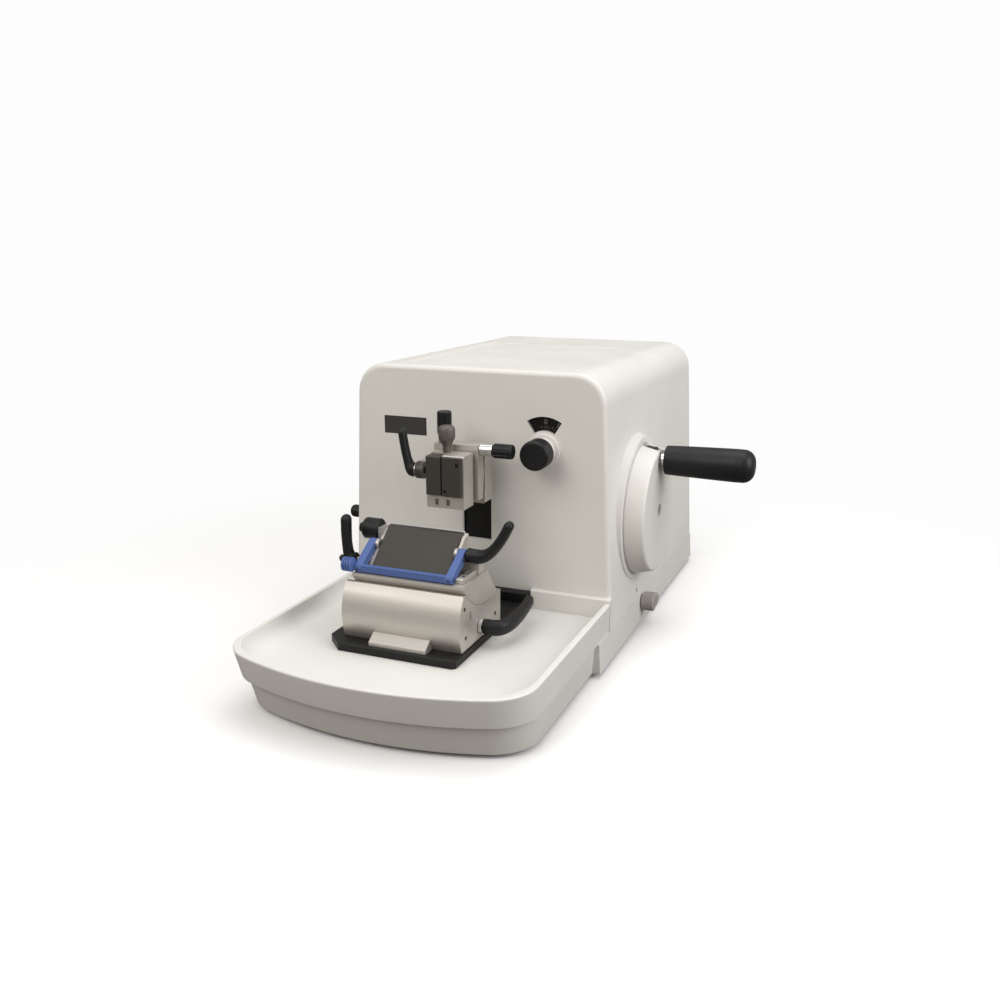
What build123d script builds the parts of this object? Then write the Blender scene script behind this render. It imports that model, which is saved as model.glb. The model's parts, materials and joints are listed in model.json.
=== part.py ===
from build123d import *
import math
import os

# Manual rotary microtome: a housing with a waste tray and a knife holder in front of it, a specimen
# head that rides up and down in the front wall, and a handwheel on the right.
# Millimetres. X is to the right, Y to the rear, Z up. The origin lies on the table, below the middle
# of the housing's front wall.

# Housing and base
HOUSING_HALF_WIDTH = 150.0
DRAFT_LEVEL = 30.0
SIDE_DRAFT = 0.048
HOUSING_DEPTH = 374.0
TOP_FRONT = 298.5
TOP_REAR = 292.5
TOP_RADIUS = 32.0
CORNER_RADIUS = 5.0
COVER_WALL = 4.0
TOP_WALL = 8.0
SEAM = 0.3
FOOT_HEIGHT = 5.0
FOOT_RADIUS = 13.0
FOOT_INSET = 38.0
FOOT_FRONT = -205.0
FOOT_REAR = 335.0
DECK = 36.0
DECK_THICKNESS = 8.0
BASE_WALL = 9.0
SKIRT_FRONT = -42.0

# Waste tray and the base band below it
BOW_RADIUS = 340.0
BOW_CORNER = 46.0
BAND_FOOT_INSET = 7.0
BAND_FOOT_APEX = -251.5
BAND_TOP_INSET = 4.5
BAND_TOP_APEX = -261.0
TRAY_FOOT_INSET = 1.6
TRAY_FOOT_APEX = -266.5
TRAY_RIM_INSET = 0.4
TRAY_RIM_APEX = -276.5
TRAY_RIM = 66.5
APRON_TOP = 70.5
APRON_DEPTH = 5.4
APRON_ROUND = 2.0
TRAY_GAP = 0.3
RIM_ROUND = 1.6
TRAY_FLOOR = 50.0
TRAY_WALL = 5.0
TRAY_FLOOR_THICKNESS = 4.0
TRAY_FILLET = 13.0

# Bed rail that carries the knife holder
RAIL_HALF = 28.0
RAIL_FRONT = -158.0
RAIL_BACK = -1.0
RAIL_TOP = 54.0
RAIL_STOP_LENGTH = 12.0
RAIL_STOP_HALF = 62.0
RAIL_STOP_TOP = 68.0
RAIL_SLOT_CLEARANCE = 1.0

# Openings and windows of the front wall
SLOT_HALF = 16.5
SLOT_MARGIN = 3.0
WINDOW_LEFT = -107.0
WINDOW_RIGHT = -57.0
WINDOW_BOTTOM = 224.4
WINDOW_TOP = 243.6
PANE_THICKNESS = 1.6
PANE_CLEARANCE = 0.1
KNOB_X = 74.6
KNOB_Z = 219.0
FAN_OUTER = 34.4
FAN_INNER = 20.0
FAN_HALF_ANGLE = 33.0

# Thickness knob
FLANGE_RADIUS = 17.5
FLANGE_DEPTH = 3.0
COLLAR_RADIUS = 13.0
COLLAR_FRONT = -12.0
KNOB_RADIUS = 15.2
KNOB_DEPTH = 18.5
KNOB_GAP = 0.4
KNOB_SHAFT_RADIUS = 4.0
KNOB_SHAFT_BACK = 40.0
DIAL_RADIUS = 36.0
DIAL_FRONT = 4.8
DIAL_THICKNESS = 1.5
CAM_RADIUS = 14.0
CAM_OFFSET = 4.0
CAM_THICKNESS = 8.0

# Top lid
LID_SIDE_MARGIN = 2.312
LID_FRONT = 21.7
LID_REAR = 289.0
LID_CORNER = 5.0
LID_RECESS = 3.4
LID_GAP = 0.7
LID_BEVEL = 0.8
LID_DISH = 1.4
LID_BORDER = 7.0

# Handwheel
WHEEL_Y = 106.0
WHEEL_Z = 139.6
WHEEL_RADIUS = 71.0
WHEEL_NEST = 2.4
WHEEL_THICKNESS = 23.4
WHEEL_FACE_RADIUS = 66.5
WHEEL_ROUND = 3.0
WHEEL_RIM = 9.0
WHEEL_WEB = 7.0
WHEEL_HUB_RADIUS = 18.0
BOSS_INSET = 1.0
BOSS_HEIGHT = 10.0
BOSS_RADIUS = 78.0
BOSS_FLARE = 5.0
BOSS_NEST_GAP = 1.0
BOSS_NEST_DEPTH = 3.0
SHAFT_RADIUS = 10.0
SHAFT_FIT = 0.05
CAP_RADIUS = 7.2
CAP_DEPTH = 3.0
CRANK_RADIUS = 56.0
PIN_RADIUS = 4.5
PIN_COLLAR_RADIUS = 7.5
GRIP_STANDOFF = 5.2
GRIP_LENGTH = 93.8
GRIP_ROOT_RADIUS = 15.6
GRIP_BELLY_RADIUS = 17.6
GRIP_BELLY_AT = 0.8
GRIP_END_ROUND = 12.0
RELEASE_LENGTH = 12.0
RELEASE_WIDTH = 12.0
RELEASE_HEIGHT = 5.0
RELEASE_TRAVEL = 2.0
RELEASE_GAP = 0.3

# Main shaft, its bracket and the crank
CRANK_THROW = 32.0
DISC_RADIUS = 42.0
DISC_LEFT = 44.0
DISC_THICKNESS = 12.0
CRANK_PIN_RADIUS = 5.0
YOKE_SPACE = 5.6
BRACKET_LEFT = 62.0
BRACKET_INSET = 26.0
UPRIGHT = 12.0
BRACKET_PLATE = 9.0
BRACKET_FLANGE = 14.0
BUSH_WALL = 5.0
BRACKET_HALF_DEPTH = 26.0

# Vertical carriage on its columns
ARM_Z = 200.0
ARM_RADIUS = 15.0
STROKE = 64.0
COLUMN_X = 42.0
COLUMN_Y = 40.0
COLUMN_RADIUS = 8.0
BRIDGE_Z = 262.0
BRIDGE_THICKNESS = 12.0
BRIDGE_END = 14.0
CARRIAGE_FRONT = 8.0
CARRIAGE_BACK = 60.0
CARRIAGE_HALF = 54.0
CARRIAGE_HALF_HEIGHT = 22.0
YOKE_GAP = 0.4
YOKE_THICKNESS = 9.0
YOKE_SLOT_CLEARANCE = 0.3
YOKE_MARGIN = 9.0
SHIELD_HALF = 24.0
SHIELD_THICKNESS = 2.2
SHIELD_OVERLAP = 4.0
SCREW_BRACKET_BACK = 112.0
SCREW_BRACKET_WALL = 8.0

# Specimen feed
SCREW_RADIUS = 5.0
SCREW_FRONT = 28.0
SCREW_BACK = 134.0
FEED_BORE_RADIUS = 7.0
FEED_BORE_FRONT = 12.0
FEED_CYLINDER_BACK = 76.0
FEED_NUT_LENGTH = 14.0
RATCHET_RADIUS = 24.0
RATCHET_TEETH = 24
RATCHET_TOOTH = 2.4
RATCHET_THICKNESS = 6.0

# Specimen head
HEAD_HALF = 24.0
HEAD_BACK = -14.0
HEAD_FRONT = -34.0
HEAD_BOTTOM = 167.0
HEAD_TOP = 225.0
TILT_PLATE_BACK = -35.4
TILT_PLATE_FRONT = -50.0
TILT_PLATE_BOTTOM = 174.0
TILT_PLATE_TOP = 229.0
TILT_AXIS_Y = -42.0
TILT_LIMIT = 8.0
SWIVEL_AXIS_Y = -58.0
BALL_RADIUS = 6.0
BALL_GAP = 0.3
BALL_NECK_RADIUS = 3.2
CLAMP_HALF = 20.0
CLAMP_BACK = -50.8
CLAMP_FRONT = -76.0
CLAMP_BOTTOM = 170.0
CLAMP_TOP = 223.0
JAW_SPLIT = -2.6
JAW_GAP = 1.2
JAW_FACE_THICKNESS = 4.0
JAW_BOTTOM = 183.0
JAW_BACK = -65.0
JAW_CLEARANCE = 0.3
JAW_LEFT = -19.0
CHEEK_LEFT = -33.0
CHEEK_RIGHT = -25.0
LEVER_SCREW_Y = -69.0
LEVER_SCREW_Z = 205.0
LEVER_SCREW_RADIUS = 3.5
CHEEK_RADIUS = 8.5
THUMB_X = -5.0
THUMB_Y = -60.0
THUMB_STEM_RADIUS = 4.2
THUMB_HEAD_RADIUS = 8.4
THUMB_CENTRE_Z = 242.0
STUD_RADIUS = 2.4
FLUTED_RADIUS = 7.3
FLUTED_LENGTH = 23.0
FLUTE_RADIUS = 1.3
FLUTE_COUNT = 10
FLUTED_ROUND = 1.6
SWIVEL_KNOB_Y = -43.0
SWIVEL_KNOB_Z = 224.5
SWIVEL_COLLAR_LENGTH = 13.9
SWIVEL_KNOB_LENGTH = 20.5
TILT_KNOB_X = -14.6
TILT_COLLAR_LENGTH = 9.0
KNOB_COLLAR_RADIUS = 6.0
KNOB_STUD_LENGTH = 6.0
KNOB_STUD_ROOM = 2.0

# Knife holder base
PLATE_BOTTOM = 50.3
PLATE_TOP = 58.3
PLATE_LEFT = -84.0
PLATE_RIGHT = 55.5
PLATE_FRONT = -178.0
PLATE_BACK = -14.0
PLATE_LEFT_CHAMFER = 18.0
PLATE_RIGHT_CHAMFER = 3.0
SLIDE_CLEARANCE = 0.3
BLOCK_LEFT = -69.0
BLOCK_RIGHT = 54.0
BLOCK_FOOT_Y = -159.0
BLOCK_BULGE_Y = -164.0
BLOCK_LIP_Y = -153.4
BLOCK_BULGE_Z = 84.0
BLOCK_LIP_Z = 111.5
BLOCK_REAR_Y = -66.7
BLOCK_REAR_Z = 91.0
TONGUE_LEFT = -35.0
TONGUE_RIGHT = 24.0
TONGUE_FRONT = -174.0
TONGUE_TOP = 68.5
TONGUE_NOSE = 3.5
INDEX_Y = -138.8
INDEX_Z = 88.0

# Tilting segment and blade carrier
EDGE_Y = -98.0
EDGE_Z = 157.5
SEGMENT_RADIUS = 68.3
SEGMENT_LEFT = -62.0
CRADLE_GAP = 0.3
SEGMENT_TOP = 120.0
SEGMENT_FRONT = -153.5
SEGMENT_NOTCH_Y = -104.0
SEGMENT_NOTCH_Z = 92.4
SEGMENT_NOTCH_HALF = 38.0
SEGMENT_SHOULDER_Y = -99.0
SEGMENT_HEEL_Y = -75.5
SEGMENT_KNEE_Y = -83.0
SEGMENT_KNEE_Z = 100.5
BLADE_LEFT = -50.0
BLADE_LENGTH = 80.0
BLADE_WIDTH = 8.0
BLADE_THICKNESS = 0.3
FACE_FOOT_Y = -138.0
FACE_FOOT_Z = 123.4
FACE_PLATE = 3.0
FACE_SETBACK = 1.2
FACE_GAP = 0.3
CARRIER_CHEEK = 3.0
CHEEK_STEP = 1.2
CHEEK_EAR_RADIUS = 5.0
SHELF_HALF = 6.5
SHELF_THICKNESS = 2.6
EDGE_EAR_FRONT = 8.0
EDGE_EAR_BACK = 4.0
CARRIER_FOOT_Y = -105.0
CARRIER_LEFT = -69.0
CARRIER_SHELF_TOP = 128.0
CARRIER_SHELF_BACK = -112.0
CARRIER_BAR_RIGHT = 52.0
CARRIER_BAR_TOP = 134.5
CARRIER_BAR_FRONT = -114.0
CARRIER_BAR_BACK = -102.0
FOOT_STRIP_RIGHT = 50.0
FOOT_STRIP_TOP = 125.0
FOOT_STRIP_HOLES = (-136.0, -122.0)
PIVOT_Y = -118.0
PIVOT_Z = 140.0
PIVOT_RADIUS = 3.0

# Lengths that follow from the sizes above
LID_HALF_WIDTH = HOUSING_HALF_WIDTH + SIDE_DRAFT * (DRAFT_LEVEL - TOP_FRONT) - TOP_RADIUS - LID_SIDE_MARGIN
FOOT_SIDE = HOUSING_HALF_WIDTH - FOOT_INSET
BAND_FOOT_HALF = HOUSING_HALF_WIDTH - BAND_FOOT_INSET
BAND_TOP_HALF = HOUSING_HALF_WIDTH - BAND_TOP_INSET
TRAY_FOOT_HALF = HOUSING_HALF_WIDTH - TRAY_FOOT_INSET
TRAY_RIM_HALF = HOUSING_HALF_WIDTH - TRAY_RIM_INSET
BOSS_FACE = HOUSING_HALF_WIDTH - BOSS_INSET
BOSS_FOOT = BOSS_FACE - BOSS_HEIGHT
WHEEL_BACK = BOSS_FACE - WHEEL_NEST
WHEEL_FACE = WHEEL_BACK + WHEEL_THICKNESS
GRIP_START = WHEEL_FACE + GRIP_STANDOFF
GRIP_END = GRIP_START + GRIP_LENGTH
BRACKET_RIGHT = HOUSING_HALF_WIDTH - BRACKET_INSET
FACE_RUN = EDGE_Y - FACE_FOOT_Y
FACE_RISE = EDGE_Z - FACE_FOOT_Z
FACE_LENGTH = math.hypot(FACE_RUN, FACE_RISE)
BLADE_RIGHT = BLADE_LEFT + BLADE_LENGTH
CHEEK_INNER = BLADE_LEFT - FACE_GAP

# Finger guard
GUARD_BAR_Y = -147.6
GUARD_BAR_Z = 124.2
GUARD_BAR_HEIGHT = 6.0
GUARD_BAR_DEPTH = 5.6
GUARD_ARM = 7.6
GUARD_ARM_HEIGHT = 10.5
GUARD_GAP = 0.5
GUARD_END_LEFT = -72.0
GUARD_END_RADIUS = 7.0
GUARD_END_Y = -151.5
GUARD_END_Z = 127.6

# Levers and the edge knob
LEVER_HUB_RADIUS = 6.6
LEVER_ARM_RADIUS = 5.0
LEVER_TIP_RADIUS = 6.0
BLADE_LEVER_START = 42.2
BLADE_LEVER_ELBOW = 66.0
BLADE_LEVER_TIP_X = 84.0
BLADE_LEVER_RISE = 35.0
HOLDER_LEVER_Y = -116.0
HOLDER_LEVER_Z = 70.0
HOLDER_WASHER_RADIUS = 8.0
HOLDER_WASHER_LENGTH = 4.0
HOLDER_LEVER_ELBOW = 84.0
HOLDER_LEVER_TIP_X = 76.0
HOLDER_LEVER_TIP_Y = -40.0
HOLDER_LEVER_RISE = 3.0
SHIFT_LEVER_Y = -125.0
SHIFT_LEVER_Z = 124.0
SHIFT_LEVER_START = -73.0
SHIFT_LEVER_ELBOW = -83.0
SHIFT_LEVER_TIP_X = -84.0
SHIFT_LEVER_RISE = 43.0
CLAMP_LEVER_START = -34.0
CLAMP_LEVER_ELBOW = -43.0
CLAMP_LEVER_TIP_X = -48.0
CLAMP_LEVER_RISE = 39.0
EDGE_KNOB_Y = -101.5
EDGE_KNOB_Z = 149.5
EDGE_KNOB_RADIUS = 10.5
EDGE_KNOB_INNER = -57.5
EDGE_KNOB_LENGTH = 18.0
EDGE_KNOB_NUB = 5.0

# Coarse feed wheel on the left
COARSE_Y = 76.0
COARSE_Z = 119.5
COARSE_RADIUS = 41.0
COARSE_STANDOFF = 1.2
COARSE_THICKNESS = 9.0
COARSE_BOSS_INSET = 0.2
COARSE_BOSS_RADIUS = 20.0
COARSE_SHAFT_RADIUS = 6.0
COARSE_SHAFT_TAIL = 8.0
COARSE_PILLAR_INSET = 22.0
COARSE_PILLAR_WIDTH = 16.0
COARSE_PILLAR_HALF = 18.0
COARSE_KNOB_OFFSET = 32.0
COARSE_KNOB_RADIUS = 7.2
COARSE_KNOB_LENGTH = 17.5
COARSE_PIN_RADIUS = 2.5
COARSE_BOSS_FACE = COARSE_BOSS_INSET - HOUSING_HALF_WIDTH
COARSE_FACE = COARSE_BOSS_FACE - COARSE_STANDOFF - COARSE_THICKNESS
COARSE_PILLAR_LEFT = COARSE_PILLAR_INSET - HOUSING_HALF_WIDTH
COARSE_PILLAR_RIGHT = COARSE_PILLAR_LEFT + COARSE_PILLAR_WIDTH
COARSE_SHAFT_END = COARSE_PILLAR_RIGHT + COARSE_SHAFT_TAIL

# Wheel brake and the plugs on the right side
BRAKE_Y = 121.0
BRAKE_Z = 26.5
BRAKE_SHAFT_RADIUS = 4.0
BRAKE_HUB_RADIUS = 9.5
BRAKE_LENGTH = 14.0
BRAKE_ARM = 12.0
BRAKE_GAP = 0.5
PLUG_Y = 99.6
PLUG_Z = 47.0
PLUG_RADIUS = 2.6
PLUG_BORE_DEPTH = 9.184

# Screws
SCREW_HEAD_RADIUS = 4.5
SCREW_HEAD_HEIGHT = 4.5
SCREW_SHANK_RADIUS = 2.5
SCREW_SHANK_LENGTH = 6.0
SCREW_SOCKET = 2.0
SCREW_FIT = 0.05


def block(x0, x1, y0, y1, z0, z1):
    centre = Pos((x0 + x1) / 2, (y0 + y1) / 2, (z0 + z1) / 2)
    return centre * Box(x1 - x0, y1 - y0, z1 - z0)


def rod_x(radius, x0, x1, y, z):
    return Pos((x0 + x1) / 2, y, z) * Rot(0, 90, 0) * Cylinder(radius, x1 - x0)


def rod_y(radius, y0, y1, x, z):
    return Pos(x, (y0 + y1) / 2, z) * Rot(90, 0, 0) * Cylinder(radius, y1 - y0)


def rod_z(radius, z0, z1, x, y):
    return Pos(x, y, (z0 + z1) / 2) * Cylinder(radius, z1 - z0)


def side_plane(x):
    return Plane(origin=(x, 0, 0), x_dir=(0, 1, 0), z_dir=(1, 0, 0))


def front_plane(y):
    return Plane(origin=(0, y, 0), x_dir=(1, 0, 0), z_dir=(0, -1, 0))


def side_prism(face, x0, x1):
    return extrude(side_plane(x0) * face, amount=x1 - x0)


def polygon(points):
    return make_face(Polyline(points, close=True))


def half_width(z):
    return HOUSING_HALF_WIDTH + SIDE_DRAFT * (DRAFT_LEVEL - z)


def top_height(y):
    return TOP_FRONT + (TOP_REAR - TOP_FRONT) * y / HOUSING_DEPTH


def edge_point(part, axis, index):
    return part.faces().sort_by(axis)[index]


# Base casting and feet
def bow_face(z, half, apex, back):
    corner = apex + BOW_RADIUS - math.sqrt(BOW_RADIUS ** 2 - half ** 2)
    outline = [
        Line((-half, back), (-half, corner)),
        ThreePointArc((-half, corner), (0, apex), (half, corner)),
        Line((half, corner), (half, back)),
        Line((half, back), (-half, back)),
    ]
    face = make_face(outline)
    corners = face.vertices().filter_by(lambda v: abs(v.Y - corner) < 0.01)
    return Pos(0, 0, z) * fillet(corners, BOW_CORNER)


def bow_solid(z0, half0, apex0, z1, half1, apex1, back, inset=0.0):
    low = bow_face(z0, half0 - inset, apex0 + inset, back)
    high = bow_face(z1, half1 - inset, apex1 + inset, back)
    return loft([low, high])


def skirt_solid(z0, z1, inset=0.0):
    faces = []
    for z in (z0, z1):
        half = half_width(z) - inset
        corners = [(-half, SKIRT_FRONT + inset), (half, SKIRT_FRONT + inset)]
        corners += [(half, HOUSING_DEPTH - inset), (-half, HOUSING_DEPTH - inset)]
        faces.append(Pos(0, 0, z) * polygon(corners))
    return loft(faces)


def foot_places():
    return [(x, y) for x in (-FOOT_SIDE, FOOT_SIDE) for y in (FOOT_FRONT, FOOT_REAR)]


def make_base_frame():
    join = SKIRT_FRONT + CORNER_RADIUS
    band = bow_solid(
        FOOT_HEIGHT, BAND_FOOT_HALF, BAND_FOOT_APEX, DECK, BAND_TOP_HALF, BAND_TOP_APEX, join
    )
    part = skirt_solid(FOOT_HEIGHT, DECK) + band
    roof = DECK - DECK_THICKNESS
    hollow = bow_solid(
        0, BAND_FOOT_HALF, BAND_FOOT_APEX, roof, BAND_TOP_HALF, BAND_TOP_APEX,
        SKIRT_FRONT - BASE_WALL, BASE_WALL
    )
    part -= hollow
    part -= skirt_solid(0, roof, BASE_WALL)
    for x, y in foot_places():
        part += rod_z(FOOT_RADIUS + 4, FOOT_HEIGHT, DECK - 1, x, y)
    part -= rod_x(BRAKE_SHAFT_RADIUS + SHAFT_FIT, 0, HOUSING_HALF_WIDTH + BRAKE_LENGTH, BRAKE_Y, BRAKE_Z)
    for x, y in screw_places():
        part -= rod_z(SCREW_SHANK_RADIUS + SCREW_FIT, 0, DECK, x, y)
    return part


def make_feet():
    feet = []
    for x, y in foot_places():
        foot = rod_z(FOOT_RADIUS, 0, FOOT_HEIGHT, x, y)
        feet.append(fillet(edge_point(foot, Axis.Z, 0).edges(), 1.2))
    return Compound(children=feet)


# Housing cover
def cover_profile(y, bottom, top, inset, radius):
    points = [(-half_width(bottom) + inset, bottom), (half_width(bottom) - inset, bottom)]
    points += [(half_width(top) - inset, top), (-half_width(top) + inset, top)]
    face = polygon(points)
    return front_plane(y) * fillet(face.vertices().group_by(Axis.Y)[-1], radius)


def cover_solid(y0, y1, bottom, inset, drop, radius):
    front = cover_profile(y0, bottom, top_height(y0) - drop, inset, radius)
    back = cover_profile(y1, bottom, top_height(y1) - drop, inset, radius)
    return loft([front, back])


def lid_plane():
    middle = (LID_FRONT + LID_REAR) / 2
    slope = (TOP_FRONT - TOP_REAR) / HOUSING_DEPTH
    return Plane(origin=(0, middle, top_height(middle)), x_dir=(1, 0, 0), z_dir=(0, slope, 1))


def lid_panel(inset, depth, above=0.0):
    outline = RectangleRounded(
        2 * (LID_HALF_WIDTH - inset), LID_REAR - LID_FRONT - 2 * inset, LID_CORNER
    )
    return extrude(lid_plane() * Pos(0, 0, above) * outline, amount=-depth)


def fan_face(outer, inner, half_angle):
    low = math.radians(90 - half_angle)
    high = math.radians(90 + half_angle)

    def at(radius, angle):
        return (KNOB_X + radius * math.cos(angle), KNOB_Z + radius * math.sin(angle))

    up = math.radians(90)
    return make_face([
        Line(at(inner, low), at(outer, low)),
        ThreePointArc(at(outer, low), at(outer, up), at(outer, high)),
        Line(at(outer, high), at(inner, high)),
        ThreePointArc(at(inner, high), at(inner, up), at(inner, low)),
    ])


def slot_bottom():
    return ARM_Z - STROKE - ARM_RADIUS - SLOT_MARGIN


def slot_top():
    return ARM_Z + ARM_RADIUS + SLOT_MARGIN


def window_block(inset, y0, y1):
    return block(
        WINDOW_LEFT + inset, WINDOW_RIGHT - inset, y0, y1, WINDOW_BOTTOM + inset, WINDOW_TOP - inset
    )


def apron_spans():
    left = PLATE_LEFT - RAIL_SLOT_CLEARANCE
    right = RAIL_STOP_HALF + RAIL_SLOT_CLEARANCE
    return [(-TRAY_RIM_HALF, left), (right, TRAY_RIM_HALF)]


def make_housing_cover():
    bottom = DECK + SEAM
    shell = cover_solid(0, HOUSING_DEPTH, bottom, 0, 0, TOP_RADIUS)
    front_edges = edge_point(shell, Axis.Y, 0).edges().filter_by(lambda e: e.center().Z > bottom + 1)
    shell = fillet(front_edges, CORNER_RADIUS)
    rear_edges = edge_point(shell, Axis.Y, -1).edges().filter_by(lambda e: e.center().Z > bottom + 1)
    shell = fillet(rear_edges, CORNER_RADIUS)
    boss_height = BOSS_FACE - BOSS_FOOT
    boss = Cone(BOSS_RADIUS + BOSS_FLARE, BOSS_RADIUS, boss_height)
    shell += Pos(BOSS_FOOT + boss_height / 2, WHEEL_Y, WHEEL_Z) * Rot(0, 90, 0) * boss
    left_inside = -half_width(COARSE_Z) + COVER_WALL / 2
    shell += rod_x(COARSE_BOSS_RADIUS, COARSE_BOSS_FACE, left_inside, COARSE_Y, COARSE_Z)
    for x0, x1 in apron_spans():
        apron = block(x0, x1, -APRON_DEPTH, COVER_WALL / 2, bottom, APRON_TOP)
        rim = apron.edges().filter_by(Axis.X).filter_by(lambda e: e.center().Y < 0)
        shell += fillet(rim.group_by(Axis.Z)[-1], APRON_ROUND)
    room = cover_solid(
        COVER_WALL, HOUSING_DEPTH - COVER_WALL, bottom - 2, COVER_WALL, TOP_WALL,
        TOP_RADIUS - COVER_WALL
    )
    room -= rod_x(BOSS_RADIUS, BOSS_FOOT, BOSS_FACE, WHEEL_Y, WHEEL_Z)
    shell -= room
    nest = WHEEL_RADIUS + BOSS_NEST_GAP
    shell -= rod_x(nest, BOSS_FACE - BOSS_NEST_DEPTH, BOSS_FACE + 1, WHEEL_Y, WHEEL_Z)
    shell -= rod_x(SHAFT_RADIUS + 3, BOSS_FOOT - 2, BOSS_FACE, WHEEL_Y, WHEEL_Z)
    shell -= rod_x(COARSE_SHAFT_RADIUS + 1, COARSE_BOSS_FACE - 1, left_inside + 8, COARSE_Y, COARSE_Z)
    shell -= block(-SLOT_HALF, SLOT_HALF, -1, COVER_WALL + 1, slot_bottom(), slot_top())
    shell -= window_block(0, -1, PANE_THICKNESS)
    fan = fan_face(FAN_OUTER, FAN_INNER, FAN_HALF_ANGLE)
    shell -= extrude(front_plane(COVER_WALL + 1) * fan, amount=COVER_WALL + 2)
    shell -= rod_y(KNOB_SHAFT_RADIUS + 1, -1, COVER_WALL + 1, KNOB_X, KNOB_Z)
    shell -= lid_panel(0, LID_RECESS + 2, 2)
    plug_face = half_width(PLUG_Z)
    return shell - rod_x(PLUG_RADIUS, plug_face - PLUG_BORE_DEPTH, plug_face + COVER_WALL, PLUG_Y, PLUG_Z)


def make_top_lid():
    plate = lid_panel(LID_GAP, LID_RECESS - SEAM)
    plate = chamfer(plate.faces().sort_by(Axis.Z)[-1].edges(), LID_BEVEL)
    return plate - lid_panel(LID_BORDER, LID_DISH + 2, 2)


def make_display_window():
    pane = window_block(PANE_CLEARANCE, 0.2, PANE_THICKNESS)
    lip = edge_point(pane, Axis.Y, 0).edges()
    return chamfer(lip, 0.5)


def make_dial_pane():
    gap_angle = math.degrees(PANE_CLEARANCE / FAN_INNER)
    face = fan_face(FAN_OUTER - PANE_CLEARANCE, FAN_INNER + PANE_CLEARANCE, FAN_HALF_ANGLE - gap_angle)
    return extrude(front_plane(0.6 + PANE_THICKNESS) * face, amount=PANE_THICKNESS)


def make_side_plug():
    outside = half_width(PLUG_Z)
    plug = rod_x(PLUG_RADIUS, outside - COVER_WALL, outside + 0.4, PLUG_Y, PLUG_Z)
    return fillet(edge_point(plug, Axis.X, -1).edges(), 0.35)


# Waste tray, open at the back where the cover's apron stands
def make_waste_tray():
    low = DECK + SEAM
    back = -APRON_DEPTH - TRAY_GAP
    body = bow_solid(
        low, TRAY_FOOT_HALF, TRAY_FOOT_APEX, TRAY_RIM, TRAY_RIM_HALF, TRAY_RIM_APEX, back
    )
    body = fillet(body.edges().group_by(Axis.Z)[-1].filter_by(lambda e: e.center().Y < back - 1), RIM_ROUND)
    room = bow_solid(
        TRAY_FLOOR, TRAY_FOOT_HALF, TRAY_FOOT_APEX, TRAY_RIM + 6, TRAY_RIM_HALF, TRAY_RIM_APEX,
        back + 2 * TRAY_FILLET, TRAY_WALL
    )
    body -= fillet(room.edges().group_by(Axis.Z)[0], TRAY_FILLET)
    body -= bow_solid(
        low - 1, TRAY_FOOT_HALF, TRAY_FOOT_APEX, TRAY_FLOOR - TRAY_FLOOR_THICKNESS, TRAY_FOOT_HALF,
        TRAY_FOOT_APEX, back - TRAY_WALL, TRAY_WALL
    )
    slot = RAIL_HALF + RAIL_SLOT_CLEARANCE
    body -= block(-slot, slot, RAIL_FRONT - RAIL_SLOT_CLEARANCE, 1, 0, TRAY_RIM)
    stop = RAIL_STOP_HALF + RAIL_SLOT_CLEARANCE
    return body - block(-stop, stop, RAIL_BACK - RAIL_STOP_LENGTH - RAIL_SLOT_CLEARANCE, 1, 0, TRAY_RIM)


# Bed rail
def make_bed_rail():
    rail = block(-RAIL_HALF, RAIL_HALF, RAIL_FRONT, RAIL_BACK, DECK, RAIL_TOP)
    rail = chamfer(rail.edges().filter_by(Axis.Y).group_by(Axis.Z)[-1], 1.0)
    stop = block(
        -RAIL_STOP_HALF, RAIL_STOP_HALF, RAIL_BACK - RAIL_STOP_LENGTH, RAIL_BACK,
        TRAY_FLOOR, RAIL_STOP_TOP
    )
    return rail + chamfer(stop.edges().filter_by(Axis.X).group_by(Axis.Z)[-1], 1.0)


# Thickness knob with its dial
def make_knob_flange():
    flange = rod_y(FLANGE_RADIUS, -FLANGE_DEPTH, 0, KNOB_X, KNOB_Z)
    flange = fillet(edge_point(flange, Axis.Y, 0).edges(), 1.2)
    flange += rod_y(COLLAR_RADIUS, COLLAR_FRONT, 0, KNOB_X, KNOB_Z)
    return flange - rod_y(KNOB_SHAFT_RADIUS + SHAFT_FIT, COLLAR_FRONT - 1, 1, KNOB_X, KNOB_Z)


def make_thickness_knob():
    back = COLLAR_FRONT - KNOB_GAP
    knob = rod_y(KNOB_RADIUS, back - KNOB_DEPTH, back, KNOB_X, KNOB_Z)
    knob = fillet(edge_point(knob, Axis.Y, 0).edges(), 3.0)
    knob = chamfer(edge_point(knob, Axis.Y, -1).edges(), 1.0)
    return knob - rod_y(KNOB_SHAFT_RADIUS, back - KNOB_DEPTH + 5, back, KNOB_X, KNOB_Z)


def make_knob_shaft():
    front = COLLAR_FRONT - KNOB_GAP - KNOB_DEPTH + 5
    shaft = rod_y(KNOB_SHAFT_RADIUS, front, KNOB_SHAFT_BACK, KNOB_X, KNOB_Z)
    cam_back = KNOB_SHAFT_BACK - 4
    return shaft + rod_y(CAM_RADIUS, cam_back - CAM_THICKNESS, cam_back, KNOB_X + CAM_OFFSET, KNOB_Z)


def make_thickness_dial():
    dial = rod_y(DIAL_RADIUS, DIAL_FRONT, DIAL_FRONT + DIAL_THICKNESS, KNOB_X, KNOB_Z)
    return dial - rod_y(KNOB_SHAFT_RADIUS, 0, 20, KNOB_X, KNOB_Z)


# Handwheel, crank and grip
def wheel_revolve(points):
    profile = polygon(points)
    placed = Plane(origin=(0, WHEEL_Y, WHEEL_Z), x_dir=(1, 0, 0), z_dir=(0, 0, 1)) * profile
    return revolve(placed, Axis((0, WHEEL_Y, WHEEL_Z), (1, 0, 0)), 360)


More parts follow.
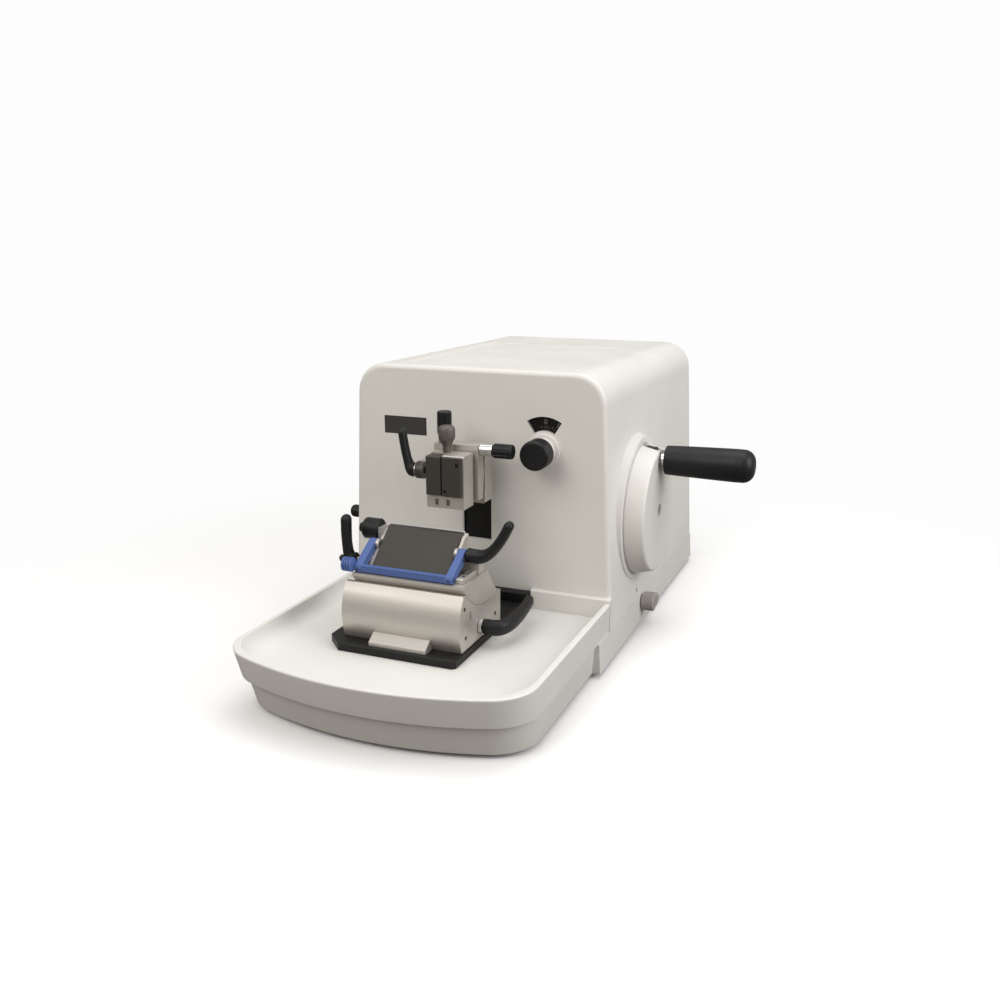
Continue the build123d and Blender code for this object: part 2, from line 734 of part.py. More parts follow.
def make_handwheel():
    rim_inside = WHEEL_RADIUS - WHEEL_RIM
    web_back = WHEEL_FACE - WHEEL_WEB
    wheel = wheel_revolve([
        (WHEEL_BACK, 0), (WHEEL_BACK, WHEEL_HUB_RADIUS), (web_back, WHEEL_HUB_RADIUS + 3),
        (web_back, rim_inside - 5), (WHEEL_BACK, rim_inside), (WHEEL_BACK, WHEEL_RADIUS),
        (WHEEL_BACK + 4, WHEEL_RADIUS), (WHEEL_FACE, WHEEL_FACE_RADIUS), (WHEEL_FACE, 0),
    ])
    wheel = fillet(edge_point(wheel, Axis.X, -1).edges(), WHEEL_ROUND)
    crank_z = WHEEL_Z + CRANK_RADIUS
    wheel += rod_x(PIN_COLLAR_RADIUS + 2, WHEEL_BACK + 8, WHEEL_FACE - 1, WHEEL_Y, crank_z)
    wheel -= rod_x(PIN_RADIUS, WHEEL_BACK, WHEEL_FACE + 1, WHEEL_Y, crank_z)
    wheel -= rod_x(SHAFT_RADIUS, WHEEL_BACK, web_back, WHEEL_Y, WHEEL_Z)
    wheel -= rod_x(CAP_RADIUS, WHEEL_FACE - CAP_DEPTH, WHEEL_FACE + 1, WHEEL_Y, WHEEL_Z)
    return wheel - release_pocket()


def release_block(gap, x_room, drop, top):
    middle = (WHEEL_BACK + WHEEL_FACE) / 2
    half = RELEASE_LENGTH / 2 + x_room
    wide = RELEASE_WIDTH / 2 + gap
    outside = WHEEL_Z + WHEEL_RADIUS
    return block(
        middle - half, middle + half, WHEEL_Y - wide, WHEEL_Y + wide,
        outside - RELEASE_HEIGHT - drop, outside + top
    )


def release_pocket():
    return release_block(RELEASE_GAP, 4.0, RELEASE_TRAVEL + RELEASE_GAP, 2.0)


def make_grip_release():
    button = release_block(0, 0, 0, -2.6)
    return fillet(button.edges().filter_by(Axis.Y).group_by(Axis.Z)[-1], 0.8)


def make_wheel_cap():
    cap = rod_x(CAP_RADIUS - 0.05, WHEEL_FACE - CAP_DEPTH, WHEEL_FACE - 0.8, WHEEL_Y, WHEEL_Z)
    socket = Pos(WHEEL_FACE - 1.5, WHEEL_Y, WHEEL_Z) * Rot(0, 90, 0)
    return cap - socket * extrude(RegularPolygon(3.4, 6), amount=3)


def make_grip_pin():
    crank_z = WHEEL_Z + CRANK_RADIUS
    pin = rod_x(PIN_RADIUS, WHEEL_BACK + 9, GRIP_END - 22, WHEEL_Y, crank_z)
    collar = rod_x(PIN_COLLAR_RADIUS, WHEEL_FACE, GRIP_START - KNOB_GAP, WHEEL_Y, crank_z)
    return pin + fillet(edge_point(collar, Axis.X, 0).edges(), 0.8)


def make_crank_grip():
    length = GRIP_END - GRIP_START
    belly = GRIP_START + GRIP_BELLY_AT * length
    shoulder = GRIP_START + 0.45 * length
    between = (GRIP_ROOT_RADIUS + GRIP_BELLY_RADIUS) / 2 + 0.3
    end = GRIP_END
    outline = [
        Line((GRIP_START, 0), (GRIP_START, GRIP_ROOT_RADIUS)),
        Spline((GRIP_START, GRIP_ROOT_RADIUS), (shoulder, between), (belly, GRIP_BELLY_RADIUS)),
        Line((belly, GRIP_BELLY_RADIUS), (end, GRIP_BELLY_RADIUS - 0.4)),
        Line((end, GRIP_BELLY_RADIUS - 0.4), (end, 0)),
        Line((end, 0), (GRIP_START, 0)),
    ]
    face = make_face(outline)
    outer = face.vertices().filter_by(lambda v: v.X > end - 0.1 and v.Y > 1)
    face = fillet(outer, GRIP_END_ROUND)
    root = face.vertices().filter_by(lambda v: v.X < GRIP_START + 0.1 and v.Y > 1)
    face = fillet(root, 1.5)
    crank_z = WHEEL_Z + CRANK_RADIUS
    placed = Plane(origin=(0, WHEEL_Y, crank_z), x_dir=(1, 0, 0), z_dir=(0, 0, 1)) * face
    grip = revolve(placed, Axis((0, WHEEL_Y, crank_z), (1, 0, 0)), 360)
    return grip - rod_x(PIN_RADIUS + SHAFT_FIT, GRIP_START - 1, GRIP_END - 21, WHEEL_Y, crank_z)


def make_main_shaft():
    end = WHEEL_FACE - WHEEL_WEB - 0.2
    return rod_x(SHAFT_RADIUS, DISC_LEFT, end, WHEEL_Y, WHEEL_Z)


def make_crank_disc():
    disc = rod_x(DISC_RADIUS, DISC_LEFT, DISC_LEFT + DISC_THICKNESS, WHEEL_Y, WHEEL_Z)
    disc -= rod_x(SHAFT_RADIUS, DISC_LEFT - 1, DISC_LEFT + DISC_THICKNESS + 1, WHEEL_Y, WHEEL_Z)
    pin_z = WHEEL_Z + CRANK_THROW
    disc = chamfer(edge_point(disc, Axis.X, -1).edges(), 1.0)
    return disc - rod_x(CRANK_PIN_RADIUS, DISC_LEFT - 1, DISC_LEFT + DISC_THICKNESS + 1, WHEEL_Y, pin_z)


def bracket_uprights():
    return [(BRACKET_LEFT, BRACKET_LEFT + UPRIGHT), (BRACKET_RIGHT - UPRIGHT, BRACKET_RIGHT)]


def bush_radius():
    return SHAFT_RADIUS + SHAFT_FIT + BUSH_WALL


def make_shaft_bracket():
    flange = BRACKET_HALF_DEPTH + BRACKET_FLANGE
    part = block(
        BRACKET_LEFT, BRACKET_RIGHT, WHEEL_Y - flange, WHEEL_Y + flange, DECK, DECK + BRACKET_PLATE
    )
    head = bush_radius() + 9
    for x0, x1 in bracket_uprights():
        foot = [(-BRACKET_HALF_DEPTH, DECK + 2), (BRACKET_HALF_DEPTH, DECK + 2)]
        foot += [(head, WHEEL_Z), (-head, WHEEL_Z)]
        part += side_prism(Pos(WHEEL_Y, 0) * polygon(foot), x0, x1)
        part += rod_x(head, x0, x1, WHEEL_Y, WHEEL_Z)
    part -= rod_x(bush_radius(), BRACKET_LEFT - 1, BRACKET_RIGHT + 1, WHEEL_Y, WHEEL_Z)
    for x, y in shaft_screw_places():
        part -= rod_z(SCREW_SHANK_RADIUS + SCREW_FIT, DECK - 1, DECK + BRACKET_PLATE + 1, x, y)
    return part


def make_shaft_bushes():
    bushes = []
    for x0, x1 in bracket_uprights():
        bush = rod_x(bush_radius(), x0, x1, WHEEL_Y, WHEEL_Z)
        bushes.append(bush - rod_x(SHAFT_RADIUS + SHAFT_FIT, x0 - 1, x1 + 1, WHEEL_Y, WHEEL_Z))
    return Compound(children=bushes)


# Screws that hold the brackets to the deck
def shaft_screw_places():
    reach = BRACKET_HALF_DEPTH + BRACKET_FLANGE - 6
    xs = (BRACKET_LEFT + 8, BRACKET_RIGHT - 8)
    return [(x, WHEEL_Y + side * reach) for x in xs for side in (-1, 1)]


def coarse_screw_places():
    x = (COARSE_PILLAR_LEFT + COARSE_PILLAR_RIGHT) / 2
    return [(x, COARSE_Y + side * (COARSE_PILLAR_HALF + 6)) for side in (-1, 1)]


def screw_places():
    return shaft_screw_places() + coarse_screw_places()


def cap_screw(x, y, seat):
    head = rod_z(SCREW_HEAD_RADIUS, seat, seat + SCREW_HEAD_HEIGHT, x, y)
    head = chamfer(edge_point(head, Axis.Z, -1).edges(), 0.4)
    top = seat + SCREW_HEAD_HEIGHT
    head -= Pos(x, y, top - SCREW_SOCKET) * extrude(RegularPolygon(2.3, 6), amount=SCREW_SOCKET)
    return head + rod_z(SCREW_SHANK_RADIUS, DECK - SCREW_SHANK_LENGTH, seat, x, y)


def make_frame_screws():
    return Compound(children=[cap_screw(x, y, DECK + BRACKET_PLATE) for x, y in screw_places()])


# Vertical carriage
def make_guide_columns():
    rods = [rod_z(COLUMN_RADIUS, DECK, BRIDGE_Z, x, COLUMN_Y) for x in (-COLUMN_X, COLUMN_X)]
    return Compound(children=rods)


def make_column_bridge():
    reach = COLUMN_X + BRIDGE_END
    half = COLUMN_RADIUS + 4
    bar = block(-reach, reach, COLUMN_Y - half, COLUMN_Y + half, BRIDGE_Z, BRIDGE_Z + BRIDGE_THICKNESS)
    return fillet(bar.edges().filter_by(Axis.Z), 6)


def yoke_right():
    return DISC_LEFT - YOKE_SPACE - YOKE_GAP


def make_carriage():
    bottom = ARM_Z - CARRIAGE_HALF_HEIGHT
    top = ARM_Z + CARRIAGE_HALF_HEIGHT
    part = block(-CARRIAGE_HALF, CARRIAGE_HALF, CARRIAGE_FRONT, CARRIAGE_BACK, bottom, top)
    part = chamfer(part.edges().filter_by(Axis.Z), 4)
    pin_z = WHEEL_Z + CRANK_THROW
    slot = CRANK_PIN_RADIUS + YOKE_SLOT_CLEARANCE
    right = yoke_right()
    left = right - YOKE_THICKNESS
    reach = WHEEL_Y + CRANK_THROW + slot + YOKE_MARGIN
    part += block(left, right, CARRIAGE_BACK - 2, reach, pin_z - slot - YOKE_MARGIN, ARM_Z)
    near = WHEEL_Y - CRANK_THROW - slot
    far = WHEEL_Y + CRANK_THROW + slot
    part -= block(left - 1, right + 1, near, far, pin_z - slot, pin_z + slot)
    wall = SCREW_BRACKET_WALL
    half = FEED_BORE_RADIUS + 8
    part += block(
        -CARRIAGE_HALF, -CARRIAGE_HALF + wall, CARRIAGE_BACK - 5, SCREW_BRACKET_BACK,
        ARM_Z - half, ARM_Z + half
    )
    part += block(
        -CARRIAGE_HALF, half, SCREW_BRACKET_BACK - wall, SCREW_BRACKET_BACK, ARM_Z - half, ARM_Z + half
    )
    part -= rod_y(ARM_RADIUS + SHAFT_FIT, CARRIAGE_FRONT - 1, CARRIAGE_BACK + 1, 0, ARM_Z)
    part -= rod_y(SCREW_RADIUS + SHAFT_FIT, SCREW_BRACKET_BACK - wall - 1, SCREW_BRACKET_BACK + 1, 0, ARM_Z)
    for x in (-COLUMN_X, COLUMN_X):
        part -= rod_z(COLUMN_RADIUS + SHAFT_FIT, bottom - 1, top + 1, x, COLUMN_Y)
    return part


def make_slot_shield():
    back = CARRIAGE_FRONT
    plate = block(
        -SHIELD_HALF, SHIELD_HALF, back - SHIELD_THICKNESS, back,
        slot_bottom() - SHIELD_OVERLAP, slot_top() + STROKE + SHIELD_OVERLAP
    )
    return plate - rod_y(ARM_RADIUS + 0.5, 0, back + 1, 0, ARM_Z)


# Specimen feed
def make_feed_screw():
    return rod_y(SCREW_RADIUS, SCREW_FRONT, SCREW_BACK, 0, ARM_Z)


def make_ratchet_wheel():
    step = 2 * math.pi / RATCHET_TEETH
    points = []
    for index in range(RATCHET_TEETH):
        angle = index * step
        root = RATCHET_RADIUS - RATCHET_TOOTH
        points.append((RATCHET_RADIUS * math.cos(angle), RATCHET_RADIUS * math.sin(angle)))
        points.append((root * math.cos(angle + 0.12 * step), root * math.sin(angle + 0.12 * step)))
    front = SCREW_BRACKET_BACK + 1
    wheel = extrude(front_plane(front) * Pos(0, ARM_Z) * polygon(points), amount=-RATCHET_THICKNESS)
    return wheel - rod_y(SCREW_RADIUS, front - 1, front + RATCHET_THICKNESS + 1, 0, ARM_Z)


def make_feed_cylinder():
    part = rod_y(ARM_RADIUS, HEAD_BACK, FEED_CYLINDER_BACK, 0, ARM_Z)
    nut_front = FEED_CYLINDER_BACK - FEED_NUT_LENGTH
    part -= rod_y(FEED_BORE_RADIUS, FEED_BORE_FRONT, nut_front, 0, ARM_Z)
    part -= rod_y(SCREW_RADIUS + SHAFT_FIT, nut_front - 1, FEED_CYLINDER_BACK + 1, 0, ARM_Z)
    return part


# Specimen head
def make_head_block():
    part = block(-HEAD_HALF, HEAD_HALF, HEAD_FRONT, HEAD_BACK, HEAD_BOTTOM, HEAD_TOP)
    part = chamfer(part.edges().filter_by(Axis.Y), 1.5)
    part += rod_y(BALL_NECK_RADIUS, TILT_AXIS_Y, HEAD_FRONT + 1, 0, ARM_Z)
    return part + Pos(0, TILT_AXIS_Y, ARM_Z) * Sphere(BALL_RADIUS)


def tilt_relief(height):
    return height * math.tan(math.radians(TILT_LIMIT))


def tilt_stud_y():
    return (TILT_PLATE_FRONT + TILT_PLATE_BACK - tilt_relief(TILT_PLATE_TOP - ARM_Z)) / 2


def make_tilt_plate():
    up = TILT_PLATE_TOP - ARM_Z
    down = ARM_Z - TILT_PLATE_BOTTOM
    profile = polygon([
        (TILT_PLATE_BACK, ARM_Z), (TILT_PLATE_BACK - tilt_relief(up), TILT_PLATE_TOP),
        (TILT_PLATE_FRONT, TILT_PLATE_TOP), (TILT_PLATE_FRONT, TILT_PLATE_BOTTOM),
        (TILT_PLATE_BACK - tilt_relief(down), TILT_PLATE_BOTTOM),
    ])
    part = side_prism(profile, -HEAD_HALF, HEAD_HALF)
    part -= Pos(0, TILT_AXIS_Y, ARM_Z) * Sphere(BALL_RADIUS + BALL_GAP)
    mouth = Cone(BALL_RADIUS + 3, BALL_NECK_RADIUS + 1, 8)
    part -= Pos(0, TILT_AXIS_Y + 6, ARM_Z) * Rot(90, 0, 0) * mouth
    part += rod_y(BALL_NECK_RADIUS, SWIVEL_AXIS_Y, TILT_PLATE_FRONT + 1, 0, ARM_Z)
    part += Pos(0, SWIVEL_AXIS_Y, ARM_Z) * Sphere(BALL_RADIUS)
    part -= rod_z(
        STUD_RADIUS + SHAFT_FIT, TILT_PLATE_TOP - KNOB_STUD_LENGTH - KNOB_STUD_ROOM, TILT_PLATE_TOP + 1,
        TILT_KNOB_X, tilt_stud_y()
    )
    return part - rod_x(
        STUD_RADIUS + SHAFT_FIT, HEAD_HALF - KNOB_STUD_LENGTH - KNOB_STUD_ROOM, HEAD_HALF + 1,
        SWIVEL_KNOB_Y, SWIVEL_KNOB_Z
    )


def fluted_knob(length, radius, collar_radius, collar_length, stud_length):
    body = Pos(0, 0, collar_length + length / 2) * Cylinder(radius, length)
    body = fillet(body.edges().filter_by(GeomType.CIRCLE), FLUTED_ROUND)
    for index in range(FLUTE_COUNT):
        angle = math.radians(index * 360 / FLUTE_COUNT)
        x = (radius + 0.35 * FLUTE_RADIUS) * math.cos(angle)
        y = (radius + 0.35 * FLUTE_RADIUS) * math.sin(angle)
        body -= rod_z(FLUTE_RADIUS, collar_length - 1, collar_length + length - 2.5, x, y)
    body += rod_z(collar_radius, 0.3, collar_length + 0.5, 0, 0)
    return body + rod_z(STUD_RADIUS, -stud_length, 1, 0, 0)


def make_tilt_knob():
    knob = fluted_knob(
        FLUTED_LENGTH, FLUTED_RADIUS, KNOB_COLLAR_RADIUS, TILT_COLLAR_LENGTH, KNOB_STUD_LENGTH
    )
    return Pos(TILT_KNOB_X, tilt_stud_y(), TILT_PLATE_TOP) * knob


def make_swivel_knob():
    knob = fluted_knob(
        SWIVEL_KNOB_LENGTH, FLUTED_RADIUS, KNOB_COLLAR_RADIUS, SWIVEL_COLLAR_LENGTH, KNOB_STUD_LENGTH
    )
    return Pos(HEAD_HALF, SWIVEL_KNOB_Y, SWIVEL_KNOB_Z) * Rot(0, 90, 0) * knob


def make_clamp_body():
    relief = CLAMP_HALF * math.tan(math.radians(TILT_LIMIT))
    outline = polygon([
        (0, CLAMP_BACK), (CLAMP_HALF, CLAMP_BACK - relief), (CLAMP_HALF, CLAMP_FRONT),
        (-CLAMP_HALF, CLAMP_FRONT), (-CLAMP_HALF, CLAMP_BACK - relief),
    ])
    part = Pos(0, 0, CLAMP_BOTTOM) * extrude(outline, amount=CLAMP_TOP - CLAMP_BOTTOM)
    part = chamfer(edge_point(part, Axis.Z, -1).edges().filter_by(Axis.X), 1.5)
    part -= block(
        -CLAMP_HALF - 1, JAW_SPLIT, CLAMP_FRONT - 1, JAW_BACK, JAW_BOTTOM, CLAMP_TOP + 1
    )
    lug = block(
        CHEEK_LEFT, -CLAMP_HALF + 4, JAW_BACK + 1, CLAMP_BACK - relief - 1,
        LEVER_SCREW_Z - CHEEK_RADIUS, LEVER_SCREW_Z + CHEEK_RADIUS
    )
    part += lug
    part += rod_x(CHEEK_RADIUS, CHEEK_LEFT, CHEEK_RIGHT, LEVER_SCREW_Y, LEVER_SCREW_Z)
    part += block(
        CHEEK_LEFT, CHEEK_RIGHT, LEVER_SCREW_Y, JAW_BACK + 2,
        LEVER_SCREW_Z - CHEEK_RADIUS, LEVER_SCREW_Z + CHEEK_RADIUS
    )
    part -= rod_x(
        LEVER_SCREW_RADIUS + SHAFT_FIT, CHEEK_LEFT - 1, CHEEK_RIGHT + 1, LEVER_SCREW_Y, LEVER_SCREW_Z
    )
    part -= Pos(0, SWIVEL_AXIS_Y, ARM_Z) * Sphere(BALL_RADIUS + BALL_GAP)
    mouth = Cone(BALL_RADIUS + 2, BALL_NECK_RADIUS + 1, 6)
    part -= Pos(0, SWIVEL_AXIS_Y + 5, ARM_Z) * Rot(90, 0, 0) * mouth
    part -= rod_z(STUD_RADIUS + SHAFT_FIT, CLAMP_TOP - 8, CLAMP_TOP + 1, THUMB_X, THUMB_Y)
    for x in (-9, 3):
        part -= block(x - 2, x + 2, CLAMP_FRONT - 1, CLAMP_FRONT + 5, CLAMP_BOTTOM + 3, CLAMP_BOTTOM + 9)
    return part


def make_jaw_plate():
    front = CLAMP_FRONT - JAW_FACE_THICKNESS
    plate = block(JAW_SPLIT + JAW_GAP / 2, CLAMP_HALF - 1.5, front, CLAMP_FRONT, JAW_BOTTOM, CLAMP_TOP - 1)
    plate = chamfer(edge_point(plate, Axis.Y, 0).edges(), 0.6)
    plate -= rod_y(2.0, front - 1, front + 2.5, CLAMP_HALF - 5.5, CLAMP_TOP - 8)
    return plate - rod_y(1.5, front - 1, front + 2.5, 1.5, JAW_BOTTOM + 5)


def make_clamp_jaw():
    front = CLAMP_FRONT - JAW_FACE_THICKNESS
    right = JAW_SPLIT - JAW_GAP / 2
    low = JAW_BOTTOM + JAW_CLEARANCE
    jaw = block(JAW_LEFT, right, front, JAW_BACK - JAW_CLEARANCE, low, CLAMP_TOP - 1)
    jaw = chamfer(edge_point(jaw, Axis.Y, 0).edges(), 0.6)
    return jaw - rod_x(LEVER_SCREW_RADIUS + 0.4, JAW_LEFT - 1, JAW_LEFT + 5, LEVER_SCREW_Y, LEVER_SCREW_Z)


def make_clamp_thumb():
    centre = THUMB_CENTRE_Z
    thumb = Pos(THUMB_X, THUMB_Y, centre) * Sphere(THUMB_HEAD_RADIUS)
    thumb -= block(-30, 30, -90, -30, centre + THUMB_HEAD_RADIUS - 1.5, centre + 20)
    thumb += rod_z(THUMB_STEM_RADIUS, CLAMP_TOP + 0.3, centre, THUMB_X, THUMB_Y)
    return thumb + rod_z(STUD_RADIUS, CLAMP_TOP - 6, centre, THUMB_X, THUMB_Y)


# Curved clamping levers: a round hub along X, then an arm that bends away and ends in a round tip
def curved_lever(start, elbow, tip, hub_radius, arm_radius, tip_radius):
    start = Vector(*start)
    elbow = Vector(*elbow)
    tip = Vector(*tip)
    root = start + (elbow - start) * 0.35
    sections = []
    steps = 5
    for index in range(steps):
        t = index / (steps - 1)
        point = root * (1 - t) ** 2 + elbow * (2 * t * (1 - t)) + tip * t ** 2
        along = (elbow - root) * (2 * (1 - t)) + (tip - elbow) * (2 * t)
        waist = 1 - (2 * t - 1) ** 2
        radius = hub_radius * (1 - t) + tip_radius * t - waist * (tip_radius - arm_radius) * 0.9
        sections.append(Plane(origin=point, z_dir=along.normalized()) * Circle(radius))
    arm = loft(sections)
    arm += Pos(tip) * Sphere(tip_radius)
    low = min(start.X, root.X)
    high = max(start.X, root.X)
    return arm + rod_x(hub_radius, low, high, start.Y, start.Z)


def make_clamp_lever():
    lever = curved_lever(
        (CLAMP_LEVER_START, LEVER_SCREW_Y, LEVER_SCREW_Z),
        (CLAMP_LEVER_ELBOW, LEVER_SCREW_Y, LEVER_SCREW_Z),
        (CLAMP_LEVER_TIP_X, LEVER_SCREW_Y, LEVER_SCREW_Z + CLAMP_LEVER_RISE),
        LEVER_HUB_RADIUS, LEVER_ARM_RADIUS - 1, LEVER_TIP_RADIUS - 1.6
    )
    screw_end = JAW_LEFT + 1
    return lever + rod_x(LEVER_SCREW_RADIUS, CLAMP_LEVER_START - 2, screw_end, LEVER_SCREW_Y, LEVER_SCREW_Z)


def make_blade_lever():
    lever = curved_lever(
        (BLADE_LEVER_START, PIVOT_Y, PIVOT_Z),
        (BLADE_LEVER_ELBOW, PIVOT_Y, PIVOT_Z),
        (BLADE_LEVER_TIP_X, PIVOT_Y, PIVOT_Z + BLADE_LEVER_RISE),
        LEVER_HUB_RADIUS, LEVER_ARM_RADIUS + 0.4, LEVER_TIP_RADIUS - 0.4
    )
    return lever + rod_x(PIVOT_RADIUS, BLADE_RIGHT + FACE_GAP, BLADE_LEVER_START + 1, PIVOT_Y, PIVOT_Z)


def make_holder_lever():
    lever = curved_lever(
        (BLOCK_RIGHT + HOLDER_WASHER_LENGTH, HOLDER_LEVER_Y, HOLDER_LEVER_Z),
        (HOLDER_LEVER_ELBOW, HOLDER_LEVER_Y, HOLDER_LEVER_Z),
        (HOLDER_LEVER_TIP_X, HOLDER_LEVER_TIP_Y, HOLDER_LEVER_Z + HOLDER_LEVER_RISE),
        LEVER_HUB_RADIUS + 1, LEVER_ARM_RADIUS + 0.8, LEVER_TIP_RADIUS
    )
    washer_start = BLOCK_RIGHT + SLIDE_CLEARANCE
    washer_end = BLOCK_RIGHT + HOLDER_WASHER_LENGTH + 0.5
    lever += rod_x(HOLDER_WASHER_RADIUS, washer_start, washer_end, HOLDER_LEVER_Y, HOLDER_LEVER_Z)
    return lever + rod_x(
        LEVER_SCREW_RADIUS, BLOCK_RIGHT - 18, washer_end, HOLDER_LEVER_Y, HOLDER_LEVER_Z
    )


def make_shift_lever():
    lever = curved_lever(
        (SHIFT_LEVER_START, SHIFT_LEVER_Y, SHIFT_LEVER_Z),
        (SHIFT_LEVER_ELBOW, SHIFT_LEVER_Y, SHIFT_LEVER_Z),
        (SHIFT_LEVER_TIP_X, SHIFT_LEVER_Y, SHIFT_LEVER_Z + SHIFT_LEVER_RISE),
        LEVER_HUB_RADIUS, LEVER_ARM_RADIUS, LEVER_TIP_RADIUS - 0.8
    )
    lever += rod_x(
        LEVER_SCREW_RADIUS, SHIFT_LEVER_START - 2, CARRIER_LEFT + 6, SHIFT_LEVER_Y, SHIFT_LEVER_Z
    )
    return lever + rod_x(2.4, SHIFT_LEVER_ELBOW - 8, SHIFT_LEVER_ELBOW, SHIFT_LEVER_Y, SHIFT_LEVER_Z - 2)


def make_edge_knob():
    outer = EDGE_KNOB_INNER - EDGE_KNOB_LENGTH
    knob = rod_x(EDGE_KNOB_RADIUS, outer, EDGE_KNOB_INNER, EDGE_KNOB_Y, EDGE_KNOB_Z)
    knob = chamfer(knob.edges().filter_by(GeomType.CIRCLE), 1.4)
    knob += rod_x(EDGE_KNOB_RADIUS * 0.45, outer - EDGE_KNOB_NUB, outer, EDGE_KNOB_Y, EDGE_KNOB_Z)
    return knob + rod_x(STUD_RADIUS, EDGE_KNOB_INNER - 1, CHEEK_INNER, EDGE_KNOB_Y, EDGE_KNOB_Z)


# Knife holder base
def make_holder_plate():
    left = PLATE_LEFT_CHAMFER
    right = PLATE_RIGHT_CHAMFER
    outline = polygon([
        (PLATE_LEFT, PLATE_BACK), (PLATE_LEFT, PLATE_FRONT + left), (PLATE_LEFT + left, PLATE_FRONT),
        (PLATE_RIGHT - right, PLATE_FRONT), (PLATE_RIGHT, PLATE_FRONT + right),
        (PLATE_RIGHT, PLATE_BACK),
    ])
    plate = Pos(0, 0, PLATE_BOTTOM) * extrude(outline, amount=PLATE_TOP - PLATE_BOTTOM)
    plate = chamfer(edge_point(plate, Axis.Z, -1).edges(), 1.0)
    half = RAIL_HALF + SLIDE_CLEARANCE
    return plate - block(-half, half, PLATE_FRONT + 12, 0, 0, RAIL_TOP + SLIDE_CLEARANCE)


def circle_z(y, radius):
    return EDGE_Z - math.sqrt(radius ** 2 - (y - EDGE_Y) ** 2)


def circle_y(z, radius, side):
    return EDGE_Y + side * math.sqrt(radius ** 2 - (EDGE_Z - z) ** 2)


def block_profile():
    cradle = SEGMENT_RADIUS + CRADLE_GAP
    front_y = circle_y(BLOCK_LIP_Z, cradle, -1)
    rear_y = circle_y(BLOCK_REAR_Z, cradle, 1)
    return make_face([
        Line((BLOCK_REAR_Y, PLATE_TOP), (BLOCK_FOOT_Y, PLATE_TOP)),
        ThreePointArc(
            (BLOCK_FOOT_Y, PLATE_TOP), (BLOCK_BULGE_Y, BLOCK_BULGE_Z), (BLOCK_LIP_Y, BLOCK_LIP_Z)
        ),
        Line((BLOCK_LIP_Y, BLOCK_LIP_Z), (front_y, BLOCK_LIP_Z)),
        ThreePointArc((front_y, BLOCK_LIP_Z), (EDGE_Y, EDGE_Z - cradle), (rear_y, BLOCK_REAR_Z)),
        Line((rear_y, BLOCK_REAR_Z), (BLOCK_REAR_Y, BLOCK_REAR_Z)),
        Line((BLOCK_REAR_Y, BLOCK_REAR_Z), (BLOCK_REAR_Y, PLATE_TOP)),
    ])


def make_holder_block():
    part = side_prism(block_profile(), BLOCK_LEFT, BLOCK_RIGHT)
    bore = LEVER_SCREW_RADIUS + SHAFT_FIT
    part -= rod_x(bore, BLOCK_RIGHT - 20, BLOCK_RIGHT + 1, HOLDER_LEVER_Y, HOLDER_LEVER_Z)
    index = SlotOverall(9, 3.6, rotation=90)
    return part - extrude(side_plane(BLOCK_RIGHT - 2) * Pos(INDEX_Y, INDEX_Z) * index, amount=4)


def make_block_tongue():
    profile = polygon([
        (BLOCK_FOOT_Y - 0.1, PLATE_TOP), (TONGUE_FRONT, PLATE_TOP), (TONGUE_FRONT, PLATE_TOP + TONGUE_NOSE),
        (BLOCK_FOOT_Y - 5.4, TONGUE_TOP), (BLOCK_FOOT_Y - 1.9, TONGUE_TOP),
    ])
    tongue = side_prism(profile, TONGUE_LEFT, TONGUE_RIGHT)
    return tongue - side_prism(block_profile(), TONGUE_LEFT - 1, TONGUE_RIGHT + 1)


# Tilting segment: an arc that slides in the block's cradle about the blade's edge
def make_tilt_segment():
    heel = circle_z(SEGMENT_HEEL_Y, SEGMENT_RADIUS)
    toe = circle_z(SEGMENT_FRONT, SEGMENT_RADIUS)
    profile = make_face([
        ThreePointArc(
            (SEGMENT_FRONT, toe), (EDGE_Y, EDGE_Z - SEGMENT_RADIUS), (SEGMENT_HEEL_Y, heel)
        ),
        Line((SEGMENT_HEEL_Y, heel), (SEGMENT_KNEE_Y, SEGMENT_KNEE_Z)),
        Line((SEGMENT_KNEE_Y, SEGMENT_KNEE_Z), (SEGMENT_SHOULDER_Y, SEGMENT_TOP)),
        Line((SEGMENT_SHOULDER_Y, SEGMENT_TOP), (SEGMENT_FRONT, SEGMENT_TOP)),
        Line((SEGMENT_FRONT, SEGMENT_TOP), (SEGMENT_FRONT, toe)),
    ])
    part = side_prism(profile, SEGMENT_LEFT, BLOCK_RIGHT)
    return part - block(
        -SEGMENT_NOTCH_HALF, SEGMENT_NOTCH_HALF, SEGMENT_NOTCH_Y, BLOCK_REAR_Y,
        SEGMENT_NOTCH_Z, SEGMENT_TOP + 1
    )


# Blade carrier: its face lies along the blade, and is measured from the foot of the face to the edge
def face_point(along, depth):
    run = FACE_RUN / FACE_LENGTH
    rise = FACE_RISE / FACE_LENGTH
    y = FACE_FOOT_Y + along * run + depth * rise
    z = FACE_FOOT_Z + along * rise - depth * run
    return (y, z)


def carrier_profile(depth, top_along):
    foot_z = SEGMENT_TOP + CRADLE_GAP
    front = face_point(0, depth)
    return polygon([
        (front[0], foot_z), front, face_point(top_along, depth), face_point(top_along, depth + 3),
        (CARRIER_FOOT_Y, foot_z),
    ])


def carrier_right():
    return BLADE_RIGHT + FACE_GAP + CARRIER_CHEEK


